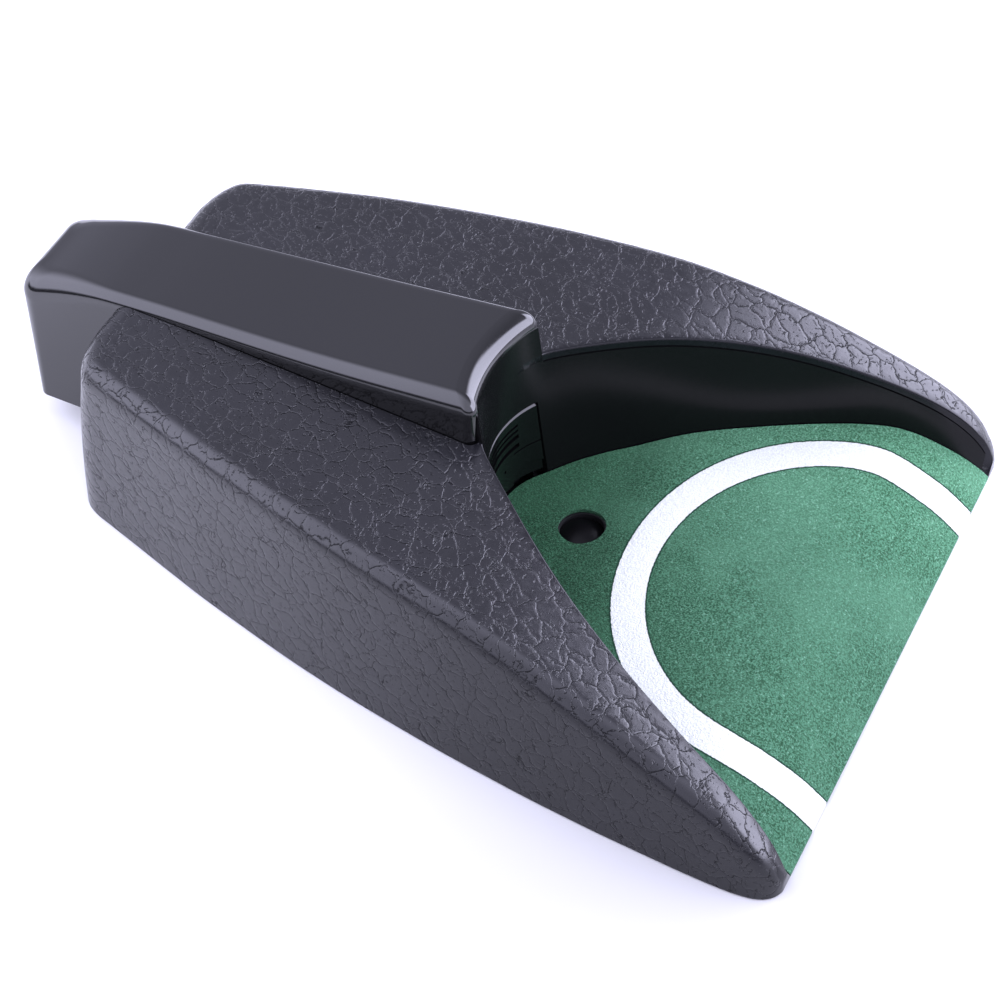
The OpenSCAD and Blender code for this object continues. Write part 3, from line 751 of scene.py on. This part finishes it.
# ------------------------------------------------------------------ materials
class Net:
    """small helper around one material's node tree"""
    def __init__(self, name, **fixed):
        self.m = bpy.data.materials.new(name)
        self.m.use_nodes = True
        self.t = self.m.node_tree
        self.p = self.t.nodes["Principled BSDF"]
        for k, v in fixed.items():
            self.p.inputs[k.replace("_", " ")].default_value = v
        tc = self.t.nodes.new("ShaderNodeTexCoord")
        self.mm = self.vec("SCALE", tc.outputs["Object"], s=1000.0)

    def put(self, sock, v):
        if hasattr(v, "is_output") or isinstance(v, bpy.types.NodeSocket):
            self.t.links.new(v, sock)
        else:
            sock.default_value = v

    def node(self, kind, **props):
        n = self.t.nodes.new(kind)
        for k, v in props.items():
            setattr(n, k, v)
        return n

    def vec(self, op, a, b=None, s=None):
        n = self.node("ShaderNodeVectorMath", operation=op)
        self.put(n.inputs[0], a)
        if b is not None:
            self.put(n.inputs[1], b)
        if s is not None:
            self.put(n.inputs["Scale"], s)
        return n.outputs["Value"] if op in ("LENGTH", "DISTANCE", "DOT_PRODUCT") else n.outputs["Vector"]

    def math(self, op, a, b=None, c=None, clamp=False):
        n = self.node("ShaderNodeMath", operation=op, use_clamp=clamp)
        self.put(n.inputs[0], a)
        if b is not None:
            self.put(n.inputs[1], b)
        if c is not None:
            self.put(n.inputs[2], c)
        return n.outputs[0]

    def xyz(self, v=None):
        n = self.node("ShaderNodeSeparateXYZ")
        self.put(n.inputs[0], v if v is not None else self.mm)
        return n.outputs

    def noise(self, scale, v=None, detail=3.0, rough=0.55, color=False, **kw):
        n = self.node("ShaderNodeTexNoise")
        self.put(n.inputs["Vector"], v if v is not None else self.mm)
        n.inputs["Scale"].default_value = scale
        n.inputs["Detail"].default_value = detail
        n.inputs["Roughness"].default_value = rough
        for k, x in kw.items():
            n.inputs[k].default_value = x
        return n.outputs["Color" if color else "Fac"]

    def voronoi(self, scale, v=None, feature="F1", out="Distance", rand=1.0):
        n = self.node("ShaderNodeTexVoronoi", feature=feature)
        self.put(n.inputs["Vector"], v if v is not None else self.mm)
        n.inputs["Scale"].default_value = scale
        n.inputs["Randomness"].default_value = rand
        return n.outputs[out]

    def wave(self, scale, v=None, direction="Z", distortion=0.0):
        n = self.node("ShaderNodeTexWave", bands_direction=direction)
        self.put(n.inputs["Vector"], v if v is not None else self.mm)
        n.inputs["Scale"].default_value = scale
        n.inputs["Distortion"].default_value = distortion
        return n.outputs["Fac"]

    def ramp(self, f, a, b, lo=0.0, hi=1.0, smooth=True):
        n = self.node("ShaderNodeMapRange", interpolation_type="SMOOTHSTEP" if smooth else "LINEAR")
        self.put(n.inputs["Value"], f)
        for i, v in zip(("From Min", "From Max", "To Min", "To Max"), (a, b, lo, hi)):
            self.put(n.inputs[i], v)
        return n.outputs[0]

    def mix(self, f, a, b, mode="MIX"):
        n = self.node("ShaderNodeMix", data_type="RGBA", blend_type=mode)
        self.put(n.inputs[0], f)
        self.put(n.inputs[6], a)
        self.put(n.inputs[7], b)
        return n.outputs[2]

    def attr(self, name):
        return self.node("ShaderNodeAttribute", attribute_name=name).outputs["Fac"]

    def warp(self, v, scale, amount, detail=1.0):
        c = self.vec("SUBTRACT", self.noise(scale, v, detail=detail, color=True), (0.5, 0.5, 0.5))
        return self.vec("ADD", v, self.vec("SCALE", c, s=amount))

    def bump(self, h, dist_mm, strength=1.0, normal=None):
        n = self.node("ShaderNodeBump")
        n.inputs["Strength"].default_value = strength
        n.inputs["Distance"].default_value = dist_mm * 0.001
        self.put(n.inputs["Height"], h)
        if normal is not None:
            self.put(n.inputs["Normal"], normal)
        return n.outputs["Normal"]

    def done(self, color=None, rough=None, normal=None, metal=None):
        for k, v in (("Base Color", color), ("Roughness", rough), ("Normal", normal), ("Metallic", metal)):
            if v is not None:
                self.put(self.p.inputs[k], v)
        return self.m


def rgb(r, g, b): return (r, g, b, 1.0)


def crackle_plastic():
    n = Net("crackle_grain_abs", IOR=1.66)
    v = n.warp(n.mm, 0.10, 6.0, 2.0)
    v = n.warp(v, 0.42, 2.0, 2.0)
    stretch = n.node("ShaderNodeMapping", vector_type="TEXTURE")
    n.put(stretch.inputs["Vector"], v)
    stretch.inputs["Rotation"].default_value = (0.0, 0.655, -2.266)
    stretch.inputs["Scale"].default_value = (1.45, 1.0, 1.0)
    v = stretch.outputs[0]
    d1 = n.voronoi(0.19, v, "DISTANCE_TO_EDGE")
    d2 = n.voronoi(0.36, v, "DISTANCE_TO_EDGE")
    d3 = n.voronoi(0.62, v, "DISTANCE_TO_EDGE")
    breaks = n.noise(0.42, detail=3.0, rough=0.65)
    fine_br = n.noise(0.75, n.vec("ADD", n.mm, (31.0, 7.0, 3.0)), detail=2.0)
    zone = n.noise(0.07, n.vec("ADD", n.mm, (9.0, 51.0, 13.0)), detail=2.0)
    faint = n.math("MULTIPLY", n.ramp(d1, 0.0, 0.045, 1.0, 0.0), 0.34)
    sharp = n.math("MULTIPLY", n.ramp(d1, 0.0, 0.034, 1.0, 0.0), n.ramp(breaks, 0.43, 0.50))
    l2 = n.math("MULTIPLY", n.ramp(d2, 0.0, 0.055, 1.0, 0.0), n.ramp(fine_br, 0.53, 0.58, 0.0, 0.8))
    l3 = n.math("MULTIPLY", n.math("MULTIPLY", n.ramp(d3, 0.0, 0.08, 1.0, 0.0), n.ramp(fine_br, 0.58, 0.62)), n.ramp(zone, 0.5, 0.58, 0.0, 0.7))
    lines = n.math("MAXIMUM", n.math("MAXIMUM", faint, sharp), n.math("MAXIMUM", l2, l3))
    dome = n.ramp(d1, 0.0, 0.16, 0.0, 0.14)
    grain = n.attr("grain")
    micro = n.noise(0.9, detail=2.0, rough=0.5)
    h = n.math("SUBTRACT", n.math("ADD", dome, n.math("MULTIPLY", micro, 0.05)), lines)
    h = n.math("MULTIPLY", h, grain)
    nrm = n.bump(h, 0.23, 1.0)
    fine = n.noise(6.0, detail=3.0)
    nrm = n.bump(fine, 0.010, 1.0, nrm)
    tone = n.noise(0.03, detail=3.0)
    col = n.mix(n.ramp(tone, 0.3, 0.7), rgb(0.0048, 0.0048, 0.0062), rgb(0.0074, 0.0074, 0.0094))
    # painted shade: the base colour darkens in the grain's grooves
    col = n.mix(n.math("MULTIPLY", lines, 0.6), col, rgb(0.0015, 0.0015, 0.002))
    rough = n.math("ADD", n.ramp(n.noise(0.4, detail=3.0), 0.3, 0.7, 0.20, 0.27), n.math("MULTIPLY", lines, 0.05))
    rough = n.ramp(grain, 0.0, 1.0, 0.14, rough, smooth=False)
    cut = n.math("MULTIPLY", n.math("MULTIPLY", lines, grain), 0.62)                    # grooves shade their own walls
    # painted shade: the specular level also drops on the wings' sides toward the front, so they reflect darker
    spec = n.math("MULTIPLY", n.math("SUBTRACT", 1.0, cut), n.math("SUBTRACT", 1.0, n.math("MULTIPLY", n.attr("flank_painted_shade"), 0.42)))
    # painted shade: where the grain is off, on the lip beside the cup, the specular level is halved so the lip band
    # reads darker
    spec = n.math("MULTIPLY", spec, n.ramp(grain, 0.0, 1.0, 0.5, 1.0, smooth=False))
    n.put(n.p.inputs["Specular IOR Level"], n.math("MULTIPLY", spec, 0.5))
    return n.done(col, rough, nrm)


def gloss_plastic(name="gloss_abs", rough=0.085, tone=0.0035, ior=1.7):
    n = Net(name, IOR=ior)
    peel = n.noise(0.22, detail=1.5)
    dust = n.ramp(n.voronoi(0.45), 0.0, 0.035, 1.0, 0.0)
    keep = n.ramp(n.noise(0.05, detail=2.0), 0.52, 0.6)
    scratch = n.noise(1.2, n.warp(n.mm, 0.05, 3.0), detail=5.0, rough=0.7)
    col = n.mix(n.math("MULTIPLY", n.math("MULTIPLY", dust, keep), 0.18), rgb(tone, tone, tone * 1.08), rgb(0.2, 0.2, 0.2))
    r = n.math("ADD", n.ramp(scratch, 0.35, 0.75, rough, rough + 0.06), n.math("MULTIPLY", n.math("MULTIPLY", dust, keep), 0.3))
    nrm = n.bump(peel, 0.012, 0.6)
    return n.done(col, r, nrm)


def moulded(name, col_a, col_b, rough=0.5, grain=0.02, scale=2.2):
    """plain moulded plastic with a spark-eroded surface"""
    n = Net(name)
    g = n.noise(scale, detail=4.0, rough=0.6)
    tone = n.ramp(n.noise(0.05, detail=3.0), 0.3, 0.7)
    flow = n.noise(0.02, n.warp(n.mm, 0.03, 12.0), detail=2.0)
    c = n.mix(tone, rgb(*col_a), rgb(*col_b))
    r = n.math("ADD", n.ramp(g, 0.3, 0.7, rough - 0.05, rough + 0.06), n.math("MULTIPLY", flow, 0.05))
    return n.done(c, r, n.bump(g, grain, 1.0))


def felt_material():
    n = Net("green_felt")
    n.p.inputs["Sheen Weight"].default_value = 0.08
    n.p.inputs["Sheen Roughness"].default_value = 0.5
    n.p.inputs["Sheen Tint"].default_value = rgb(0.75, 1.0, 0.85)
    n.p.inputs["Specular IOR Level"].default_value = 0.15
    x, y, z = n.xyz()
    ym = n.math("ADD", y, OFF)                                   # from the mouth edge
    wob = n.math("MULTIPLY", n.math("SUBTRACT", n.noise(1.1, detail=2.0), 0.5), 0.5)
    dy = n.math("DIVIDE", n.math("MAXIMUM", n.math("SUBTRACT", ym, 22.5), 0.0), 0.91)
    d = n.math("SQRT", n.math("ADD", n.math("MULTIPLY", x, x), n.math("MULTIPLY", dy, dy)))
    e = n.math("ABSOLUTE", n.math("SUBTRACT", n.math("ADD", d, wob), 58.25))
    band = n.ramp(e, 4.95, 5.2, 1.0, 0.0)
    line = n.math("MULTIPLY", n.ramp(e, 4.95, 5.1, 0.0, 1.0), n.ramp(e, 5.5, 5.75, 1.0, 0.0))
    fib = n.noise(1.8, n.warp(n.mm, 0.5, 1.2, 2.0), detail=2.0, rough=0.6)
    tuft = n.noise(0.55, detail=3.0, rough=0.6)
    spots = n.ramp(n.noise(1.5, n.vec("ADD", n.mm, (17.0, 3.0, 8.0)), detail=2.0, rough=0.5), 0.60, 0.70)
    deep = n.ramp(n.noise(1.3, n.vec("ADD", n.mm, (5.0, 29.0, 2.0)), detail=2.0, rough=0.6), 0.58, 0.70)
    patch = n.noise(0.03, n.warp(n.mm, 0.02, 20.0, 2.0), detail=3.0, rough=0.6)
    green = n.mix(n.ramp(fib, 0.36, 0.64), rgb(0.013, 0.054, 0.023), rgb(0.062, 0.172, 0.098))
    green = n.mix(n.math("MULTIPLY", deep, 0.5), green, rgb(0.008, 0.036, 0.015))
    green = n.mix(n.ramp(patch, 0.4, 0.68, 0.0, 0.4), green, rgb(0.080, 0.205, 0.118))
    green = n.mix(n.math("MULTIPLY", spots, 0.55), green, rgb(0.16, 0.33, 0.22))
    painted_rear_shade = n.ramp(n.math("SUBTRACT", ym, n.math("MULTIPLY", x, 0.4)), 40.0, 112.0)   # painted shade: the felt darkens toward the back of the cup
    green = n.mix(painted_rear_shade, green, n.mix(1.0, green, rgb(0.38, 0.52, 0.43), "MULTIPLY"))
    # painted light: the felt colour is lightened toward the right-hand side (+x)
    lit = n.ramp(x, 0.0, 75.0)
    green = n.mix(lit, green, n.mix(1.0, green, rgb(1.55, 1.52, 1.50), "MULTIPLY"))
    white = n.mix(n.ramp(fib, 0.3, 0.65), rgb(0.56, 0.58, 0.54), rgb(0.66, 0.69, 0.62))
    c = n.mix(n.math("MULTIPLY", line, 0.95), green, rgb(0.004, 0.028, 0.013))
    c = n.mix(band, c, white)
    side = n.ramp(n.math("SUBTRACT", z, 0.0), -1.0, 0.0)
    h = n.math("ADD", n.math("MULTIPLY", fib, 0.7), n.math("MULTIPLY", tuft, 0.6))
    nrm = n.bump(h, 0.5, 1.0)
    return n.done(c, n.ramp(fib, 0.2, 0.8, 0.86, 1.0), nrm)


def steel_material(name="zinc_steel", tone=0.55, rough=0.32, brushed=True):
    n = Net(name)
    v = n.node("ShaderNodeMapping")
    n.put(v.inputs["Vector"], n.mm)
    v.inputs["Scale"].default_value = (6.0, 0.35, 6.0) if brushed else (1.5, 1.5, 1.5)
    s = n.noise(1.0, v.outputs[0], detail=4.0, rough=0.7)
    spangle = n.voronoi(0.35, n.warp(n.mm, 0.2, 1.5), out="Color")
    c = n.mix(n.ramp(s, 0.3, 0.7), rgb(tone * 0.86, tone * 0.87, tone * 0.9), rgb(tone, tone * 1.01, tone * 1.03))
    c = n.mix(0.06, c, spangle)
    n.p.inputs["Metallic"].default_value = 1.0
    return n.done(c, n.ramp(s, 0.25, 0.75, rough - 0.08, rough + 0.1), n.bump(s, 0.008, 1.0))


def winding_material():
    n = Net("enamelled_copper")
    w = n.wave(0.72, direction="Y")                              # turns of wire lie side by side along the coil
    tape = n.noise(0.3, detail=2.0)
    c = n.mix(n.ramp(w, 0.15, 0.6), rgb(0.09, 0.022, 0.006), rgb(0.42, 0.14, 0.045))
    c = n.mix(n.ramp(tape, 0.45, 0.6, 0.0, 0.25), c, rgb(0.30, 0.10, 0.035))
    n.p.inputs["Metallic"].default_value = 0.75
    return n.done(c, n.ramp(w, 0.0, 1.0, 0.5, 0.28), n.bump(w, 0.2, 1.0))


def board_material():
    n = Net("circuit_board")
    x, y, z = n.xyz()
    g = n.node("ShaderNodeTexBrick")
    n.put(g.inputs["Vector"], n.vec("MULTIPLY", n.mm, (1.0, 1.0, 0.0)))
    g.inputs["Scale"].default_value = 0.22
    g.inputs["Mortar Size"].default_value = 0.045
    g.inputs["Mortar Smooth"].default_value = 0.1
    tr = n.ramp(g.outputs["Fac"], 0.4, 0.6)
    pads = n.ramp(n.voronoi(0.28, n.vec("MULTIPLY", n.mm, (1.0, 1.0, 0.0)), rand=0.6), 0.10, 0.14, 1.0, 0.0)
    c = n.mix(tr, rgb(0.010, 0.075, 0.028), rgb(0.018, 0.125, 0.045))
    c = n.mix(pads, c, rgb(0.55, 0.53, 0.48))
    r = n.math("ADD", 0.3, n.math("MULTIPLY", n.noise(0.8), 0.15))
    return n.done(c, r, n.bump(n.math("ADD", tr, pads), 0.035, 1.0))


def sleeve_material(name, a, b, top=(0.5, 0.5, 0.5), z_top=None, rough=0.35):
    """printed sleeve with a lighter stripe and a metal end"""
    n = Net(name)
    x, y, z = n.xyz()
    s = n.ramp(n.noise(0.5, detail=3.0), 0.3, 0.7)
    c = n.mix(s, rgb(*a), rgb(*b))
    if z_top is not None:
        k = n.ramp(z, z_top - 0.4, z_top - 0.1)
        c = n.mix(k, c, rgb(*top))
        n.put(n.p.inputs["Metallic"], k)
    return n.done(c, n.ramp(n.noise(1.5), 0.3, 0.7, rough - 0.05, rough + 0.08), n.bump(n.noise(0.8, detail=3.0), 0.02, 0.8))


def cell_material():
    """plain two-tone wrap along each cell, with metal ends"""
    n = Net("cell_wrap")
    x, y, z = n.xyz()
    ym = n.math("ADD", y, OFF)
    a = n.ramp(ym, 211.5, 211.9)
    end = n.math("MAXIMUM", n.ramp(ym, 178.9, 178.6), n.ramp(ym, 226.2, 226.4))
    c = n.mix(a, rgb(0.018, 0.020, 0.024), rgb(0.50, 0.25, 0.05))
    c = n.mix(end, c, rgb(0.55, 0.55, 0.56))
    n.put(n.p.inputs["Metallic"], n.math("ADD", n.math("MULTIPLY", end, 0.8), 0.15))
    return n.done(c, n.ramp(n.noise(0.9), 0.3, 0.7, 0.24, 0.36), n.bump(n.noise(0.7, detail=2.0), 0.02, 0.6))


def rubber_material():
    n = Net("soft_rubber")
    g = n.noise(3.0, detail=5.0, rough=0.7)
    dust = n.ramp(n.noise(0.35, detail=4.0), 0.5, 0.75)
    c = n.mix(n.math("MULTIPLY", dust, 0.4), rgb(0.014, 0.014, 0.015), rgb(0.05, 0.048, 0.045))
    return n.done(c, n.ramp(g, 0.2, 0.8, 0.72, 0.92), n.bump(g, 0.05, 1.0))


M_shell = crackle_plastic()
M_gloss = gloss_plastic()
M_wall = gloss_plastic("gloss_cup_wall", 0.20, 0.0034, 1.27)
M_kick = gloss_plastic("gloss_kicker", 0.12, 0.0028, 1.40)
M_base = moulded("moulded_base", (0.008, 0.008, 0.0085), (0.012, 0.012, 0.013), 0.5, 0.03)
M_deck = moulded("moulded_deck", (0.006, 0.006, 0.0065), (0.010, 0.010, 0.011), 0.46, 0.025)
M_trig = moulded("trigger_plastic", (0.0018, 0.0018, 0.002), (0.0028, 0.0028, 0.0032), 0.3, 0.012, 3.0)
M_trig.node_tree.nodes["Principled BSDF"].inputs["IOR"].default_value = 1.22
M_switch = moulded("switch_body", (0.020, 0.020, 0.022), (0.028, 0.028, 0.030), 0.42, 0.015, 3.0)
M_light = moulded("pale_plastic", (0.52, 0.49, 0.40), (0.60, 0.57, 0.48), 0.42, 0.012, 3.0)
M_felt = felt_material()
M_steel = steel_material()
M_spring = steel_material("spring_wire", 0.5, 0.25, False)
M_wind = winding_material()
M_board = board_material()
M_cap = sleeve_material("capacitor_sleeve", (0.010, 0.014, 0.045), (0.014, 0.02, 0.06), z_top=38.6)
M_relay = moulded("relay_case", (0.018, 0.06, 0.20), (0.024, 0.075, 0.24), 0.3, 0.01, 2.0)
M_cell = cell_material()
M_rubber = rubber_material()


def give(ob, mat):
    ob.data.materials.clear()
    ob.data.materials.append(mat)


# grain fades out over the rolled edge beside the cup
def grain_mask(ob):
    me = ob.data
    co = np.zeros(len(me.vertices) * 3)
    me.vertices.foreach_get("co", co)
    co = co.reshape(-1, 3) * 1000 + [0, OFF, 0]
    k = CT[:, 1] > -7
    E = np.c_[CT, TZ(CT[:, 1])][k]
    p = co.copy(); p[:, 0] = np.abs(p[:, 0])
    dmin = np.full(len(p), 1e9)
    for i in range(0, len(E), 1):
        dmin = np.minimum(dmin, ((p - E[i]) ** 2).sum(1))
    dmin = np.sqrt(dmin)
    g = sstep(0.5, 1.3, dmin)
    g[(dmin < 3.2) & (TZ(co[:, 1]) - co[:, 2] > 0.3)] = 0           # the lip's own face is smooth
    g = g.astype(np.float32)
    a = me.attributes.new("grain", "FLOAT", "POINT")
    a.data.foreach_set("value", g)
    # painted shade: this mask marks the wings' sides toward the front, where the shell reflects darker
    nz = np.zeros(len(me.vertices) * 3)
    me.vertices.foreach_get("normal", nz)
    f = sstep(0.22, 0.62, np.abs(nz[0::3])) * (1 - sstep(70, 205, co[:, 1]))
    b = me.attributes.new("flank_painted_shade", "FLOAT", "POINT")
    b.data.foreach_set("value", f.astype(np.float32))


grain_mask(shell)
give(shell, M_shell); give(liner, M_wall); give(spine, M_gloss); give(felt, M_felt); give(kick, M_kick); give(trig, M_trig); give(spring, M_spring)
for piece, body, node, slot_name in (
        (shell, "housing", "housing_shell", "shell"), (liner, "housing", "cup_liner", "gloss"),
        (spine, "housing", "spine_cover", "gloss"), (felt, "housing", "felt_mat", "felt"),
        (kick, "kicker", "kicker_plate", "gloss"), (trig, "trigger", "trigger_cap", "trigger"),
        (spring, "housing", "trigger_spring", "steel")):
    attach(piece, body)
    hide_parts(node)

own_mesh(spring)

carried = {
    "base_plate": M_base, "ramp_deck": M_deck, "kicker_pin": M_steel, "kicker_spring": M_spring,
    "solenoid_frame": M_steel, "solenoid_coil": M_wind, "solenoid_core": M_steel,
    "trigger_switch": M_switch, "switch_button": M_light, "circuit_board": M_board,
    "storage_capacitor": M_cap, "relay": M_relay, "battery_tray": M_base, "battery_cells": M_cell,
    "battery_contacts": M_spring, "battery_door": M_base, "power_switch": M_switch, "power_slider": M_light,
    "rubber_feet": M_rubber, "housing_screws": M_steel, "cover_screws": M_steel, "deck_screws": M_steel,
    "solenoid_screws": M_steel, "board_screws": M_steel, "door_screw": M_steel,
}
for name, mat in carried.items():
    give(nodes[name], mat)


# ------------------------------------------------------------------ camera
cam_data = bpy.data.cameras.new("camera")
cam = bpy.data.objects.new("camera", cam_data)
bpy.context.scene.collection.objects.link(cam)
back = Vector((-0.6208, -0.2891, 0.7288)).normalized()
right = Vector((0.4221, -0.9065, 0.0)).normalized()
right = (right - back * right.dot(back)).normalized()
up = back.cross(right)
roll = math.radians(0.54)
R_ = math.cos(roll) * right + math.sin(roll) * up
U_ = -math.sin(roll) * right + math.cos(roll) * up
cam.matrix_world = Matrix(((R_.x, U_.x, back.x, -0.51525), (R_.y, U_.y, back.y, -0.25257), (R_.z, U_.z, back.z, 0.61638), (0, 0, 0, 1)))
cam_data.sensor_width = 36
cam_data.lens = 104.39
cam_data.clip_start, cam_data.clip_end = 0.02, 20
bpy.context.scene.camera = cam

# ------------------------------------------------------------------ studio
fl = bpy.data.meshes.new("floor")
fl.from_pydata([(-6, -6, 0), (6, -6, 0), (6, 6, 0), (-6, 6, 0)], [], [(0, 1, 2, 3)])
floor = bpy.data.objects.new("floor", fl)
bpy.context.scene.collection.objects.link(floor)
nf = Net("paper_floor")
fx_, fy_, fz_ = nf.xyz()
# painted shade: the floor darkens toward the front left, which also dims what the wings' near sides reflect
shade = nf.ramp(nf.math("ADD", fy_, fx_), -240.0, 20.0)
give(floor, nf.done(nf.mix(nf.math("ADD", shade, nf.math("MULTIPLY", nf.noise(0.02), 0.03)), rgb(0.54, 0.54, 0.525), rgb(0.93, 0.93, 0.91)), 0.9))

scene = bpy.context.scene
world = bpy.data.worlds.new("studio")
scene.world = world
world.use_nodes = True
wt = world.node_tree
bg = wt.nodes["Background"]


def wmath(op, a, b=None, clamp=False):
    n = wt.nodes.new("ShaderNodeMath")
    n.operation, n.use_clamp = op, clamp
    for i, v in enumerate((a, b)):
        if v is None:
            continue
        if isinstance(v, bpy.types.NodeSocket):
            wt.links.new(v, n.inputs[i])
        else:
            n.inputs[i].default_value = v
    return n.outputs[0]


def wramp(f, a, b, lo, hi):
    n = wt.nodes.new("ShaderNodeMapRange")
    n.interpolation_type = "SMOOTHSTEP"
    wt.links.new(f, n.inputs["Value"])
    for k, v in zip(("From Min", "From Max", "To Min", "To Max"), (a, b, lo, hi)):
        n.inputs[k].default_value = v
    return n.outputs[0]


wtc = wt.nodes.new("ShaderNodeTexCoord")
wsep = wt.nodes.new("ShaderNodeSeparateXYZ")
wt.links.new(wtc.outputs["Generated"], wsep.inputs[0])
tent = wramp(wsep.outputs[0], -0.05, 0.5, 2.1, 0.58)          # the lit side of the tent is on the left and overhead
tent = wmath("MULTIPLY", tent, wramp(wsep.outputs[1], -0.35, 0.3, 0.80, 1.12))
tent = wmath("MULTIPLY", tent, wramp(wsep.outputs[1], 0.34, 0.62, 1.0, 1.35))
low_ = wramp(wsep.outputs[2], 0.13, 0.26, 0.06, 1.0)          # dark gap between the table and the tent, on the left
low_ = wmath("MAXIMUM", low_, wramp(wsep.outputs[0], -0.35, 0.05, 0.0, 1.0))
azim = wmath("ARCTAN2", wmath("MULTIPLY", wsep.outputs[1], -1.0), wsep.outputs[0])
az = wmath("MULTIPLY", wramp(azim, 0.05, 0.28, 0.0, 1.0), wramp(azim, 1.62, 1.85, 1.0, 0.0))
el = wmath("MULTIPLY", wramp(wsep.outputs[2], 0.04, 0.09, 0.0, 1.0), wramp(wsep.outputs[2], 0.655, 0.75, 1.0, 0.0))
boxl = wmath("MULTIPLY", wmath("MULTIPLY", az, el), 6.0)      # soft box at the front right
wt.links.new(wmath("ADD", wmath("MULTIPLY", tent, low_), boxl), bg.inputs["Strength"])
bg.inputs["Color"].default_value = (0.90, 0.90, 1.15, 1)
scene.view_settings.view_transform = "Standard"
scene.view_settings.look = "None"

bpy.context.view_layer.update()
for o in list(bpy.data.objects):
    if o.name in ("Cube", "Light", "Camera"):
        bpy.data.objects.remove(o)
